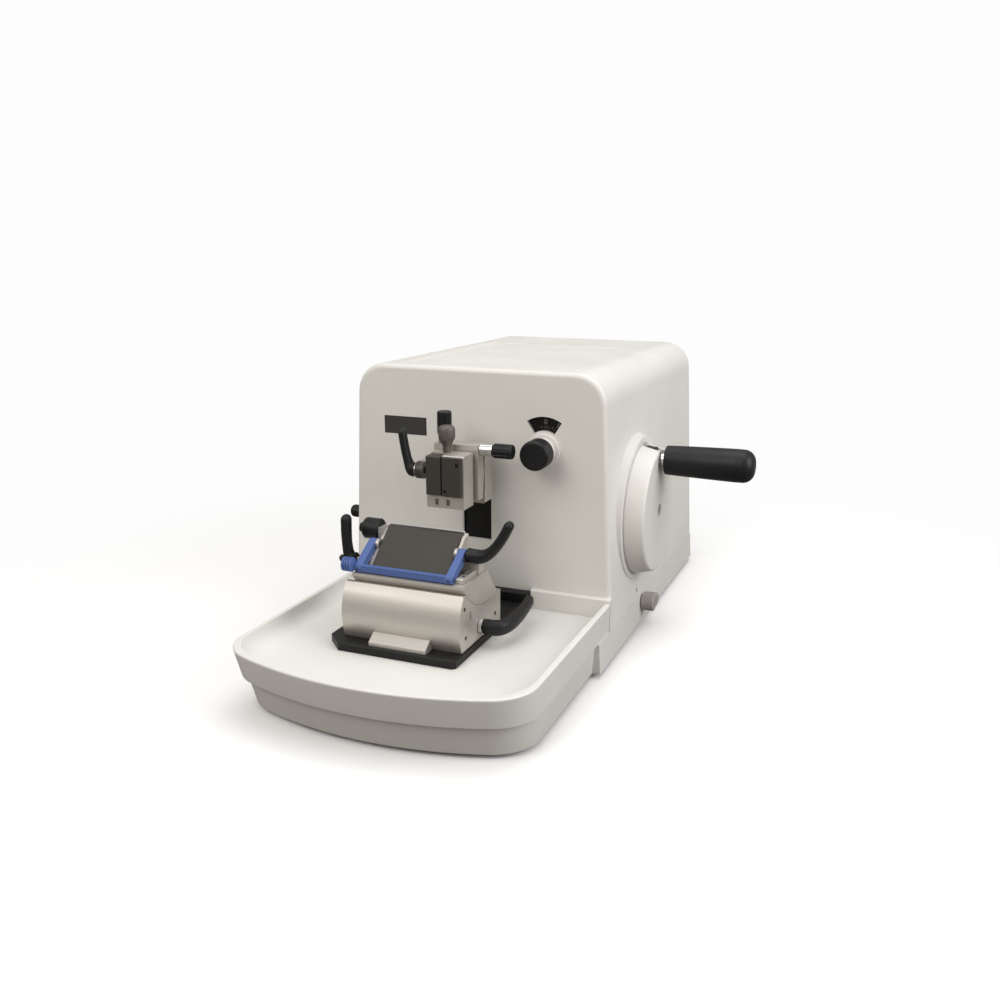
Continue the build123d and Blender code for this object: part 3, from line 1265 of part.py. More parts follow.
def make_blade_carrier():
    seat = FACE_PLATE + FACE_GAP + BLADE_THICKNESS
    foot_z = SEGMENT_TOP + CRADLE_GAP
    top = FACE_LENGTH - FACE_SETBACK
    left = CHEEK_INNER - CARRIER_CHEEK
    right = carrier_right()
    part = side_prism(carrier_profile(seat, top), left, right)
    for x0, x1 in ((left, CHEEK_INNER), (right - CARRIER_CHEEK, right)):
        part += side_prism(carrier_profile(CHEEK_STEP, top - 5), x0, x1)
        part += rod_x(CHEEK_EAR_RADIUS, x0, x1, PIVOT_Y, PIVOT_Z)
    shelf_front = SHIFT_LEVER_Y - SHELF_HALF
    part += block(
        CARRIER_LEFT, left + 1, shelf_front, CARRIER_SHELF_BACK, foot_z, foot_z + SHELF_THICKNESS
    )
    post = guard_left() - GUARD_ARM - GUARD_GAP
    part += block(
        CARRIER_LEFT, post, shelf_front, SHIFT_LEVER_Y + SHELF_HALF, foot_z, CARRIER_SHELF_TOP
    )
    part += block(
        right - 1, CARRIER_BAR_RIGHT, CARRIER_BAR_FRONT, CARRIER_BAR_BACK, foot_z, CARRIER_BAR_TOP
    )
    ear = EDGE_KNOB_INNER + FACE_GAP
    part += block(
        ear, left + 1, EDGE_KNOB_Y - EDGE_EAR_FRONT, EDGE_KNOB_Y + EDGE_EAR_BACK, foot_z,
        EDGE_KNOB_Z + EDGE_EAR_BACK
    )
    bore = LEVER_SCREW_RADIUS + SHAFT_FIT
    part -= rod_x(bore, CARRIER_LEFT - 1, post + 1, SHIFT_LEVER_Y, SHIFT_LEVER_Z)
    part -= rod_x(
        STUD_RADIUS + SHAFT_FIT, ear - 1, CHEEK_INNER + 0.1, EDGE_KNOB_Y, EDGE_KNOB_Z
    )
    part -= rod_x(PIVOT_RADIUS + SHAFT_FIT, left - 1, CHEEK_INNER + 0.1, PIVOT_Y, PIVOT_Z)
    part -= rod_x(
        PIVOT_RADIUS + SHAFT_FIT, right - CARRIER_CHEEK - 0.1, right + 1, PIVOT_Y, PIVOT_Z
    )
    return part


def make_carrier_foot():
    foot_z = SEGMENT_TOP + CRADLE_GAP
    left = guard_right() + GUARD_ARM + GUARD_GAP
    strip = block(
        left, FOOT_STRIP_RIGHT, SEGMENT_FRONT + 9, CARRIER_BAR_FRONT, foot_z, FOOT_STRIP_TOP
    )
    strip = chamfer(edge_point(strip, Axis.Z, -1).edges(), 1.0)
    middle = (left + FOOT_STRIP_RIGHT) / 2
    for y in FOOT_STRIP_HOLES:
        strip -= rod_z(2.2, FOOT_STRIP_TOP - 2, FOOT_STRIP_TOP + 1, middle, y)
    return strip


def make_blade():
    depth = FACE_PLATE + FACE_GAP
    x0 = BLADE_LEFT
    x1 = BLADE_RIGHT
    start = FACE_LENGTH - BLADE_WIDTH
    corners = [face_point(start, depth), face_point(FACE_LENGTH - 1, depth)]
    corners += [face_point(FACE_LENGTH + 0.6, depth + BLADE_THICKNESS / 2)]
    corners += [face_point(FACE_LENGTH - 1, depth + BLADE_THICKNESS)]
    corners += [face_point(start, depth + BLADE_THICKNESS)]
    return side_prism(polygon(corners), x0, x1)


def make_pressure_plate():
    top = FACE_LENGTH - FACE_SETBACK
    x0 = BLADE_LEFT + FACE_GAP
    x1 = BLADE_RIGHT - FACE_GAP
    corners = [face_point(0, 0), face_point(top - 4, 0), face_point(top, FACE_PLATE - 1.0)]
    corners += [face_point(top, FACE_PLATE), face_point(0, FACE_PLATE)]
    return side_prism(polygon(corners), x0, x1)


def guard_left():
    return CHEEK_INNER - CARRIER_CHEEK - GUARD_GAP


def guard_right():
    return BLADE_RIGHT + FACE_GAP + CARRIER_CHEEK + GUARD_GAP


def guard_arm(x0, x1):
    run = GUARD_BAR_Y - PIVOT_Y
    rise = GUARD_BAR_Z - PIVOT_Z
    length = math.hypot(run, rise)
    nx = -rise / length * GUARD_ARM_HEIGHT / 2
    ny = run / length * GUARD_ARM_HEIGHT / 2
    corners = [(PIVOT_Y + nx, PIVOT_Z + ny), (PIVOT_Y - nx, PIVOT_Z - ny)]
    corners += [(GUARD_BAR_Y - nx * 0.7, GUARD_BAR_Z - ny * 0.7)]
    corners += [(GUARD_BAR_Y + nx * 0.7, GUARD_BAR_Z + ny * 0.7)]
    arm = side_prism(polygon(corners), x0, x1)
    return arm + rod_x(GUARD_ARM_HEIGHT / 2, x0, x1, PIVOT_Y, PIVOT_Z)


def make_finger_guard():
    left = guard_left() - GUARD_ARM
    right = guard_right() + GUARD_ARM
    half_h = GUARD_BAR_HEIGHT / 2
    half_d = GUARD_BAR_DEPTH / 2
    bar = block(
        left, right, GUARD_BAR_Y - half_d, GUARD_BAR_Y + half_d, GUARD_BAR_Z - half_h,
        GUARD_BAR_Z + half_h
    )
    part = fillet(bar.edges().filter_by(Axis.X), 1.6)
    part += guard_arm(left, guard_left())
    part += guard_arm(guard_right(), right)
    end = rod_x(GUARD_END_RADIUS, GUARD_END_LEFT, left + 0.5, GUARD_END_Y, GUARD_END_Z)
    part += end
    part -= rod_x(PIVOT_RADIUS + SHAFT_FIT, left - 1, guard_left() + 1, PIVOT_Y, PIVOT_Z)
    return part - rod_x(PIVOT_RADIUS + SHAFT_FIT, guard_right() - 1, right + 1, PIVOT_Y, PIVOT_Z)


def make_guard_pivot():
    return rod_x(PIVOT_RADIUS, guard_left() - GUARD_ARM, CHEEK_INNER, PIVOT_Y, PIVOT_Z)


# Coarse feed wheel
def make_coarse_wheel():
    back = COARSE_FACE + COARSE_THICKNESS
    wheel = rod_x(COARSE_RADIUS, COARSE_FACE, back, COARSE_Y, COARSE_Z)
    wheel = fillet(wheel.edges().filter_by(GeomType.CIRCLE), 2.5)
    dish = rod_x(COARSE_RADIUS - 7, COARSE_FACE - 1, COARSE_FACE + 2.5, COARSE_Y, COARSE_Z)
    wheel -= dish - rod_x(13, COARSE_FACE - 2, COARSE_FACE + 3, COARSE_Y, COARSE_Z)
    pin_y = COARSE_Y - COARSE_KNOB_OFFSET
    wheel += rod_x(COARSE_KNOB_RADIUS, COARSE_FACE, COARSE_FACE + 4, pin_y, COARSE_Z)
    wheel -= rod_x(COARSE_SHAFT_RADIUS, COARSE_FACE + 3, back + 1, COARSE_Y, COARSE_Z)
    return wheel - rod_x(COARSE_PIN_RADIUS, COARSE_FACE - 1, back + 1, pin_y, COARSE_Z)


def make_coarse_shaft():
    return rod_x(COARSE_SHAFT_RADIUS, COARSE_FACE + 3, COARSE_SHAFT_END, COARSE_Y, COARSE_Z)


def make_coarse_pin():
    pin_y = COARSE_Y - COARSE_KNOB_OFFSET
    return rod_x(COARSE_PIN_RADIUS, COARSE_FACE - 12, COARSE_FACE + COARSE_THICKNESS, pin_y, COARSE_Z)


def make_coarse_knob():
    pin_y = COARSE_Y - COARSE_KNOB_OFFSET
    inner = COARSE_FACE - KNOB_GAP
    knob = rod_x(COARSE_KNOB_RADIUS, inner - COARSE_KNOB_LENGTH, inner, pin_y, COARSE_Z)
    knob = fillet(edge_point(knob, Axis.X, 0).edges(), 4.5)
    return knob - rod_x(COARSE_PIN_RADIUS + SHAFT_FIT, inner - 12.5, inner + 1, pin_y, COARSE_Z)


def make_coarse_bracket():
    half = COARSE_PILLAR_HALF
    flange = half + 12
    part = block(
        COARSE_PILLAR_LEFT, COARSE_PILLAR_RIGHT, COARSE_Y - flange, COARSE_Y + flange, DECK,
        DECK + BRACKET_PLATE
    )
    part += block(
        COARSE_PILLAR_LEFT, COARSE_PILLAR_RIGHT, COARSE_Y - half, COARSE_Y + half, DECK, COARSE_Z
    )
    part += rod_x(half, COARSE_PILLAR_LEFT, COARSE_PILLAR_RIGHT, COARSE_Y, COARSE_Z)
    part -= rod_x(
        COARSE_SHAFT_RADIUS + SHAFT_FIT, COARSE_PILLAR_LEFT - 1, COARSE_PILLAR_RIGHT + 1,
        COARSE_Y, COARSE_Z
    )
    for x, y in coarse_screw_places():
        part -= rod_z(SCREW_SHANK_RADIUS + SCREW_FIT, DECK - 1, DECK + BRACKET_PLATE + 1, x, y)
    return part


# Wheel brake
def make_brake_lever():
    start = half_width(BRAKE_Z - BRAKE_HUB_RADIUS) + BRAKE_GAP
    end = start + BRAKE_LENGTH
    lever = rod_x(BRAKE_HUB_RADIUS, start, end, BRAKE_Y, BRAKE_Z)
    lever += rod_x(BRAKE_HUB_RADIUS * 0.8, start, end, BRAKE_Y + BRAKE_ARM, BRAKE_Z)
    reach = BRAKE_HUB_RADIUS * 0.8
    lever += block(start, end, BRAKE_Y, BRAKE_Y + BRAKE_ARM, BRAKE_Z - reach, BRAKE_Z + reach)
    lever = fillet(edge_point(lever, Axis.X, -1).edges(), 2.0)
    return lever + rod_x(BRAKE_SHAFT_RADIUS, start - 22, start + 1, BRAKE_Y, BRAKE_Z)


PARTS = {
    "base_frame": make_base_frame,
    "feet": make_feet,
    "housing_cover": make_housing_cover,
    "top_lid": make_top_lid,
    "display_window": make_display_window,
    "dial_pane": make_dial_pane,
    "side_plug": make_side_plug,
    "waste_tray": make_waste_tray,
    "bed_rail": make_bed_rail,
    "knob_flange": make_knob_flange,
    "thickness_knob": make_thickness_knob,
    "knob_shaft": make_knob_shaft,
    "thickness_dial": make_thickness_dial,
    "handwheel": make_handwheel,
    "grip_release": make_grip_release,
    "wheel_cap": make_wheel_cap,
    "grip_pin": make_grip_pin,
    "crank_grip": make_crank_grip,
    "main_shaft": make_main_shaft,
    "crank_disc": make_crank_disc,
    "shaft_bracket": make_shaft_bracket,
    "shaft_bushes": make_shaft_bushes,
    "frame_screws": make_frame_screws,
    "guide_columns": make_guide_columns,
    "column_bridge": make_column_bridge,
    "carriage": make_carriage,
    "slot_shield": make_slot_shield,
    "feed_screw": make_feed_screw,
    "ratchet_wheel": make_ratchet_wheel,
    "feed_cylinder": make_feed_cylinder,
    "head_block": make_head_block,
    "tilt_plate": make_tilt_plate,
    "tilt_knob": make_tilt_knob,
    "swivel_knob": make_swivel_knob,
    "clamp_body": make_clamp_body,
    "jaw_plate": make_jaw_plate,
    "clamp_jaw": make_clamp_jaw,
    "clamp_thumb": make_clamp_thumb,
    "clamp_lever": make_clamp_lever,
    "holder_plate": make_holder_plate,
    "holder_block": make_holder_block,
    "block_tongue": make_block_tongue,
    "holder_lever": make_holder_lever,
    "tilt_segment": make_tilt_segment,
    "blade_carrier": make_blade_carrier,
    "carrier_foot": make_carrier_foot,
    "blade": make_blade,
    "pressure_plate": make_pressure_plate,
    "guard_pivot": make_guard_pivot,
    "finger_guard": make_finger_guard,
    "blade_lever": make_blade_lever,
    "shift_lever": make_shift_lever,
    "edge_knob": make_edge_knob,
    "coarse_wheel": make_coarse_wheel,
    "coarse_shaft": make_coarse_shaft,
    "coarse_pin": make_coarse_pin,
    "coarse_knob": make_coarse_knob,
    "coarse_bracket": make_coarse_bracket,
    "brake_lever": make_brake_lever,
}

os.makedirs("parts", exist_ok=True)
for node, make in PARTS.items():
    export_step(make(), "parts/" + node + ".step")
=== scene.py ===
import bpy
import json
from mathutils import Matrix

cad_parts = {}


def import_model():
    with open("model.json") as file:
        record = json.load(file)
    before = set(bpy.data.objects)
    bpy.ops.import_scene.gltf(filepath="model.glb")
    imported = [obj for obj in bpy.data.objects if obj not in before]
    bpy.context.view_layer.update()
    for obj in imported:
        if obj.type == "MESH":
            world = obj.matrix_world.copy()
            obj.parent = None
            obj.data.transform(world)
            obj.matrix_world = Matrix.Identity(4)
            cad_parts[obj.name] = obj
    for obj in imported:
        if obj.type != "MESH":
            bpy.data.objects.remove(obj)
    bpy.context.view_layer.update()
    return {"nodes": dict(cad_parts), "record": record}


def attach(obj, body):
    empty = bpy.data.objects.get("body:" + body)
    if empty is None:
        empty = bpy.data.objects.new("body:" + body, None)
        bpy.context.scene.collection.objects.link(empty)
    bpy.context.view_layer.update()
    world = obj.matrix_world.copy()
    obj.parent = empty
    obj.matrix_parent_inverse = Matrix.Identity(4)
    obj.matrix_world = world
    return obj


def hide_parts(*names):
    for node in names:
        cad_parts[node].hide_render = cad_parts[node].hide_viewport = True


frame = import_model()

import json
import math

import bmesh
import bpy
from mathutils import Matrix, Vector

# Camera, in metres, degrees and millimetres of lens. It stands where the photo was taken from
CAMERA_PLACE = (0.4215, -0.9518, 0.4352)
CAMERA_AZIMUTH = 22.543
CAMERA_PITCH = 14.816
CAMERA_ROLL = -0.183
CAMERA_LENS = 36.888
CAMERA_SENSOR = 36.0
CAMERA_CLIP = 0.01

# Room, floor and lamps, in metres and watts
ROOM_LOW = (0.56, 0.52, 0.47, 1)
ROOM_HIGH = (1.0, 1.0, 1.0, 1)
ROOM_HIGH_FROM = 0.9
ROOM_STRENGTH = 0.60
BACKDROP = (0.985, 0.985, 0.985, 1)
FLOOR_SEEN = (0.97, 0.97, 0.97, 1)
FLOOR_REFLECTED = (0.16, 0.15, 0.14, 1)
FLOOR_HALF = 3.0
FLOOR_PLACE = (0, 0.1, -0.0002)
FADE_START = 0.34
FADE_END = 0.75
# Each lamp has a name, a place, the point it faces, an edge length, a power and a colour
LAMPS = (
    ("key", (-0.6, -1.5, 1.5), (0, 0, 0.15), 1.2, 17, (1.0, 0.96, 0.91)),
    ("right", (1.7, -0.1, 0.9), (0.1, 0.1, 0.15), 1.2, 19, (1, 1, 1)),
    ("top", (0.1, 0.2, 1.9), (0, 0.1, 0.1), 1.4, 12.5, (1, 1, 1)),
)

# Places that the solids set, in millimetres
JAW_LEVER_AT = (-34, -69, 205)
BLADE_LEVER_AT = (42.2, -118, 140)
HOLDER_LEVER_AT = (58.5, -116, 70)
SHIFT_LEVER_AT = (-73, -125, 124)
CLAMP_Y = -69
CLAMP_Z = 205
GUARD_PIVOT = (-118, 140)
GUARD_BAR_LINE = (-147.6, 124.2)
GUARD_ARM_LEFT = (-61.4, -53.8)
GUARD_ARM_RIGHT = (33.8, 41.4)
BLOCK_RIGHT = 54.0
STRIP_TOP = 123.2
THUMB_AT = (-5, -60, 223.3)
SWIVEL_KNOB_AT = (24.4, -43, 224.5)
TILT_KNOB_AT = (-14.6, -44.75, 229.4)
DIAL_X = 74.6
DIAL_Z = 219
DIAL_FACE = 4.72

# Levers
LEVER_HUB_SHARE = 0.35
LEVER_NECK_AT = 0.55
LEVER_FLATNESS = 0.22
LEVER_STATIONS = 26
LEVER_TIP_STATIONS = 8

# Finger guard
GUARD_EYE = 5.2
GUARD_ARM_EXTRA = 3.0
GUARD_FRONT_Y = -150.6
GUARD_RIBS = 3
GUARD_RIB_PITCH = 2.6
GUARD_END_RADIUS = 6.9
GUARD_END_WAIST = 6.0

# Thickness dial
DIAL_FIGURES = 12
DIAL_FIGURE_STEP = 28
DIAL_FIGURE_RADIUS = 28.4
DIAL_FIGURE_SIZE = 7.2
DIAL_TICK_INNER = 22.3
DIAL_TICK_LONG = 2.4
DIAL_TICK_SHORT = 1.5
DIAL_TICK_HALF = 0.25

# Looks of the materials
EDGE_WEAR_RADIUS = 0.0007
BUMP_DISTANCE = 0.0004
TEXT_THICKNESS = 0.00004

nodes = frame["nodes"]
slots = {s["node"]: s["material_slot"] for s in frame["record"]["subparts"]}


# Node trees
def add_node(tree, kind, **values):
    node = tree.nodes.new("ShaderNode" + kind)
    for key, value in values.items():
        node.inputs[key.replace("_", " ")].default_value = value
    return node


def material(name, color, rough=0.45, metal=0.0, bump=0.0, scale=400.0, spread=0.06, tint=0.03,
             stretch=(1, 1, 1), wear=0.0, alpha=1.0, specular=0.5):
    m = bpy.data.materials.new(name)
    m.use_nodes = True
    tree = m.node_tree
    link = tree.links.new
    shader = tree.nodes["Principled BSDF"]
    shader.inputs["Metallic"].default_value = metal
    shader.inputs["Specular IOR Level"].default_value = specular
    shader.inputs["Alpha"].default_value = alpha
    coords = add_node(tree, "TexCoord")
    mapping = add_node(tree, "Mapping", Scale=stretch)
    link(coords.outputs["Object"], mapping.inputs["Vector"])

    def noise(size, detail):
        n = add_node(tree, "TexNoise", Scale=size, Detail=detail, Roughness=0.6)
        link(mapping.outputs["Vector"], n.inputs["Vector"])
        return n

    broad = noise(18.0, 4.0)
    ramp = add_node(tree, "MapRange", From_Min=0.3, From_Max=0.7, To_Min=max(0.02, rough - spread),
                    To_Max=min(1.0, rough + spread))
    link(broad.outputs["Fac"], ramp.inputs["Value"])
    link(ramp.outputs["Result"], shader.inputs["Roughness"])
    mix = add_node(tree, "Mix")
    mix.data_type = "RGBA"
    mix.inputs[6].default_value = [c * (1 - 2 * tint) for c in color] + [1]
    mix.inputs[7].default_value = [min(1.0, c * (1 + tint)) for c in color] + [1]
    link(broad.outputs["Fac"], mix.inputs[0])
    last = mix.outputs[2]
    if wear > 0:
        bevel = add_node(tree, "Bevel", Radius=EDGE_WEAR_RADIUS)
        bevel.samples = 4
        geometry = add_node(tree, "NewGeometry")
        dot = add_node(tree, "VectorMath")
        dot.operation = "DOT_PRODUCT"
        link(bevel.outputs["Normal"], dot.inputs[0])
        link(geometry.outputs["Normal"], dot.inputs[1])
        edge = add_node(tree, "MapRange", From_Min=0.985, From_Max=0.90, To_Min=0.0, To_Max=wear)
        link(dot.outputs["Value"], edge.inputs["Value"])
        worn = add_node(tree, "Mix")
        worn.data_type = "RGBA"
        worn.inputs[7].default_value = [min(1.0, c * 1.5 + 0.10) for c in color] + [1]
        link(edge.outputs["Result"], worn.inputs[0])
        link(last, worn.inputs[6])
        last = worn.outputs[2]
    link(last, shader.inputs["Base Color"])
    if bump > 0:
        fine = noise(scale, 3.0)
        relief = add_node(tree, "Bump", Strength=bump, Distance=BUMP_DISTANCE)
        link(fine.outputs["Fac"], relief.inputs["Height"])
        link(relief.outputs["Normal"], shader.inputs["Normal"])
    return m


MATERIALS = {
    "cover_white": material("cover_white", (0.75, 0.735, 0.70), 0.42, bump=0.03, scale=900),
    "base_white": material("base_white", (0.72, 0.705, 0.67), 0.48, bump=0.06, scale=700),
    "tray_white": material("tray_white", (0.75, 0.74, 0.71), 0.40, bump=0.03, scale=900),
    "black_plastic": material("black_plastic", (0.006, 0.006, 0.007), 0.46, bump=0.08, scale=1400,
                              tint=0.1, wear=0.02, specular=0.35),
    "black_metal": material("black_metal", (0.006, 0.006, 0.006), 0.50, bump=0.10, scale=1200,
                            tint=0.1, wear=0.04, specular=0.3),
    "dial_black": material("dial_black", (0.006, 0.006, 0.006), 0.6, bump=0.03, tint=0.05,
                           specular=0.2),
    "pane_clear": material("pane_clear", (0.02, 0.02, 0.02), 0.10, alpha=0.12, tint=0.0,
                           specular=0.3),
    "window_dark": material("window_dark", (0.040, 0.039, 0.036), 0.30, tint=0.05),
    "rubber_black": material("rubber_black", (0.02, 0.02, 0.02), 0.8, bump=0.2, scale=900),
    "lever_grey": material("lever_grey", (0.36, 0.34, 0.31), 0.45, bump=0.06, wear=0.1),
    "silver": material("silver", (0.56, 0.53, 0.49), 0.46, metal=0.75, bump=0.10, scale=160,
                       stretch=(0.25, 6, 6), spread=0.08, tint=0.06, wear=0.12),
    "steel": material("steel", (0.52, 0.51, 0.50), 0.30, metal=1.0, bump=0.06, scale=500, wear=0.2),
    "bright_steel": material("bright_steel", (0.72, 0.72, 0.71), 0.20, metal=1.0, bump=0.03),
    "dark_steel": material("dark_steel", (0.062, 0.056, 0.050), 0.48, metal=0.5, bump=0.12, scale=500,
                           wear=0.06),
    "cast": material("cast", (0.20, 0.21, 0.22), 0.55, metal=0.6, bump=0.25, scale=300),
    "thumb_grey": material("thumb_grey", (0.13, 0.118, 0.103), 0.5, metal=0.5, bump=0.10, scale=500),
    "bronze": material("bronze", (0.50, 0.34, 0.14), 0.34, metal=1.0, bump=0.05),
    "guard_blue": material("guard_blue", (0.070, 0.125, 0.34), 0.42, bump=0.06, wear=0.06),
    "print_white": material("print_white", (0.30, 0.30, 0.29), 0.6, tint=0.0),
    # print_dark is a dark print colour and is also used for painted shade in the guard grooves and strip
    # slots
    "print_dark": material("print_dark", (0.03, 0.03, 0.03), 0.6, tint=0.0),
}


def smooth(obj, angle=32.0):
    mesh = obj.data
    mesh.shade_smooth()
    limit = math.radians(angle)
    work = bmesh.new()
    work.from_mesh(mesh)
    for edge in work.edges:
        flat = len(edge.link_faces) != 2 or edge.calc_face_angle(0) > limit
        edge.smooth = not flat
    work.to_mesh(mesh)
    work.free()


def soften(obj, width, segments=2, angle=32.0):
    bevel = obj.modifiers.new("edge", "BEVEL")
    bevel.width = width
    bevel.segments = segments
    bevel.limit_method = "ANGLE"
    bevel.angle_limit = math.radians(angle)
    bevel.harden_normals = True
    bevel.use_clamp_overlap = True


for name, obj in nodes.items():
    obj.data.materials.clear()
    obj.data.materials.append(MATERIALS[slots[name]])
    smooth(obj)


# Piece builders. They take millimetres and build in metres
def mm(*values):
    out = tuple(v / 1000 for v in values)
    return out[0] if len(out) == 1 else out


def make_piece(name, verts, faces, finish, body, stands_for=(), angle=35.0):
    mesh = bpy.data.meshes.new(name)
    mesh.from_pydata([tuple(v) for v in verts], [], faces)
    mesh.update()
    obj = bpy.data.objects.new(name, mesh)
    bpy.context.scene.collection.objects.link(obj)
    work = bmesh.new()
    work.from_mesh(mesh)
    bmesh.ops.remove_doubles(work, verts=work.verts, dist=1e-7)
    bmesh.ops.recalc_face_normals(work, faces=work.faces)
    work.to_mesh(mesh)
    work.free()
    mesh.materials.append(MATERIALS[finish])
    smooth(obj, angle)
    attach(obj, body)
    if stands_for:
        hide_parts(*stands_for)
    return obj


def turned_points(profile, origin, axis, steps):
    """Points of rings about an axis, one ring for each (along, radius)."""
    axis = Vector(axis).normalized()
    helper = Vector((0, 0, 1)) if abs(axis.z) < 0.9 else Vector((1, 0, 0))
    u = helper.cross(axis).normalized()
    v = axis.cross(u)
    points = []
    for along, radius in profile:
        for i in range(steps):
            turn = 2 * math.pi * i / steps
            out = u * math.cos(turn) + v * math.sin(turn)
            points.append(origin + axis * along + out * radius)
    return points


def tube_faces(rings, steps, first=0):
    """Faces between rings of points, with both ends closed."""
    faces = []
    for k in range(rings - 1):
        low = first + k * steps
        high = low + steps
        for i in range(steps):
            j = (i + 1) % steps
            faces.append((low + i, low + j, high + j, high + i))
    last = first + (rings - 1) * steps
    faces.append(tuple(first + i for i in range(steps)))
    faces.append(tuple(last + i for i in range(steps)))
    return faces


def lathe(name, profile, origin, axis, finish, body, steps=56, **rest):
    rings = [mm(along, radius) for along, radius in profile]
    verts = turned_points(rings, Vector(origin) / 1000, axis, steps)
    return make_piece(name, verts, tube_faces(len(rings), steps), finish, body, **rest)


def slab(name, lo, hi, finish, body, edge=0.0, segments=3):
    lo = Vector(lo) / 1000
    hi = Vector(hi) / 1000
    verts = [(x, y, z) for x in (lo.x, hi.x) for y in (lo.y, hi.y) for z in (lo.z, hi.z)]
    faces = [(0, 1, 3, 2), (4, 6, 7, 5), (0, 4, 5, 1), (2, 3, 7, 6), (0, 2, 6, 4), (1, 5, 7, 3)]
    obj = make_piece(name, verts, faces, finish, body)
    if edge:
        soften(obj, edge / 1000, segments)


def cap_screw(name, centre, axis, radius, height, finish, body):
    profile = [(0, radius), (height * 0.8, radius), (height, radius * 0.88), (height, radius * 0.52),
               (height * 0.45, radius * 0.50)]
    lathe(name, profile, centre, axis, finish, body, steps=24, angle=25)


def eased(share):
    return share * share * (3 - 2 * share)


def lever_stations(root, elbow, tip, hub, neck, grip, side):
    """Cross sections along the bent arm and its round tip: (centre, along, side, half side, half other)."""
    stations = []
    for i in range(LEVER_STATIONS + 1):
        t = i / LEVER_STATIONS
        point = root * (1 - t) ** 2 + elbow * (2 * t * (1 - t)) + tip * t ** 2
        along = ((elbow - root) * (2 * (1 - t)) + (tip - elbow) * (2 * t)).normalized()
        if t < LEVER_NECK_AT:
            k = eased(t / LEVER_NECK_AT)
            radius = hub * (1 - k) + neck * k
        else:
            k = eased((t - LEVER_NECK_AT) / (1 - LEVER_NECK_AT))
            radius = neck * (1 - k) + grip * k
        thin = 1 - LEVER_FLATNESS * min(1, t * 1.6)
        stations.append((point, along, side, radius, radius * thin))
    point, along, side, a, b = stations[-1]
    for i in range(1, LEVER_TIP_STATIONS + 1):
        turn = math.pi / 2 * i / LEVER_TIP_STATIONS
        centre = point + along * (grip * 0.9 * math.sin(turn))
        shrink = math.cos(turn)
        stations.append((centre, along, side, max(a * shrink, 1e-5), max(b * shrink, 1e-5)))
    return stations


def swept_points(stations, steps):
    """Points of nearly oval rings, one ring for each station."""
    points = []
    for centre, along, side, a, b in stations:
        side = (side - along * side.dot(along)).normalized()
        other = along.cross(side).normalized()
        for i in range(steps):
            t = 2 * math.pi * i / steps
            c = math.copysign(abs(math.cos(t)) ** 0.8, math.cos(t))
            s = math.copysign(abs(math.sin(t)) ** 0.8, math.sin(t))
            points.append(centre + side * (a * c) + other * (b * s))
    return points


def lever(name, node, body, start, elbow, tip, hub, neck, grip, side):
    start, elbow, tip = (Vector(p) / 1000 for p in (start, elbow, tip))
    hub, neck, grip = mm(hub, neck, grip)
    root = start + (elbow - start) * LEVER_HUB_SHARE
    stations = lever_stations(root, elbow, tip, hub, neck, grip, Vector(side))
    arm_steps = 28
    verts = swept_points(stations, arm_steps)
    faces = tube_faces(len(stations), arm_steps)
    reach = (root - start).length
    hub_steps = 40
    profile = [(0, hub - 0.0006), (0.0006, hub), (reach + hub * 0.25, hub),
               (reach + hub * 0.7, hub * 0.82)]
    faces += tube_faces(len(profile), hub_steps, len(verts))
    verts += turned_points(profile, start, root - start, hub_steps)
    make_piece(name, verts, faces, "black_plastic", body, stands_for=(node,), angle=40)


def label(name, text, place, size, finish, body, spin):
    """Text that faces the front, turned in its own plane by spin."""
    data = bpy.data.curves.new(name, "FONT")
    data.body = text
    data.size = size / 1000
    data.align_x = "CENTER"
    data.align_y = "CENTER"
    data.extrude = TEXT_THICKNESS
    obj = bpy.data.objects.new(name, data)
    bpy.context.scene.collection.objects.link(obj)
    upright = Matrix.Rotation(math.radians(90), 4, "X")
    obj.matrix_world = (
        Matrix.Translation(Vector(place) / 1000) @ upright @ Matrix.Rotation(spin, 4, "Z")
    )
    data.materials.append(MATERIALS[finish])
    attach(obj, body)


# Black clamping levers
def levers():
    rear = (0, 1, 0)
    lever("jaw_lever_look", "clamp_lever", "jaw_lever", JAW_LEVER_AT, (-44, CLAMP_Y, 204),
          (-49, CLAMP_Y, 241), 7.0, 5.0, 4.9, rear)
    lever("blade_lever_look", "blade_lever", "blade_clamp", BLADE_LEVER_AT, (68, -118, 138),
          (84, -118, 172), 6.8, 6.2, 5.8, rear)
    lever("holder_lever_look", "holder_lever", "holder_clamp", HOLDER_LEVER_AT, (86, -116, 70),
          (76, -44, 73), 7.4, 6.8, 6.0, (0, 0, 1))
    lever("shift_lever_look", "shift_lever", "shift_clamp", SHIFT_LEVER_AT, (-85, -125, 122),
          (-83.5, -125, 163), 6.8, 5.6, 5.9, rear)
    lathe("holder_washer", [(0, 7.2), (0.4, 8), (3.4, 8), (3.9, 7.2)], (54.3, -116, 70), (1, 0, 0),
          "bright_steel", "holder_clamp", steps=48)
    lathe("shift_lever_stub", [(0, 3.6), (5.0, 3.6), (6.4, 2.4), (6.8, 1)], (-85.5, -125, 123),
          (-1, 0, 0), "black_plastic", "shift_clamp")
    lathe("shift_lever_pin", [(0, 1.3), (7.2, 1.3), (7.6, 0.9)], (-80.5, -129, 119.6), (-1, 0, 0),
          "bright_steel", "shift_clamp", steps=20)


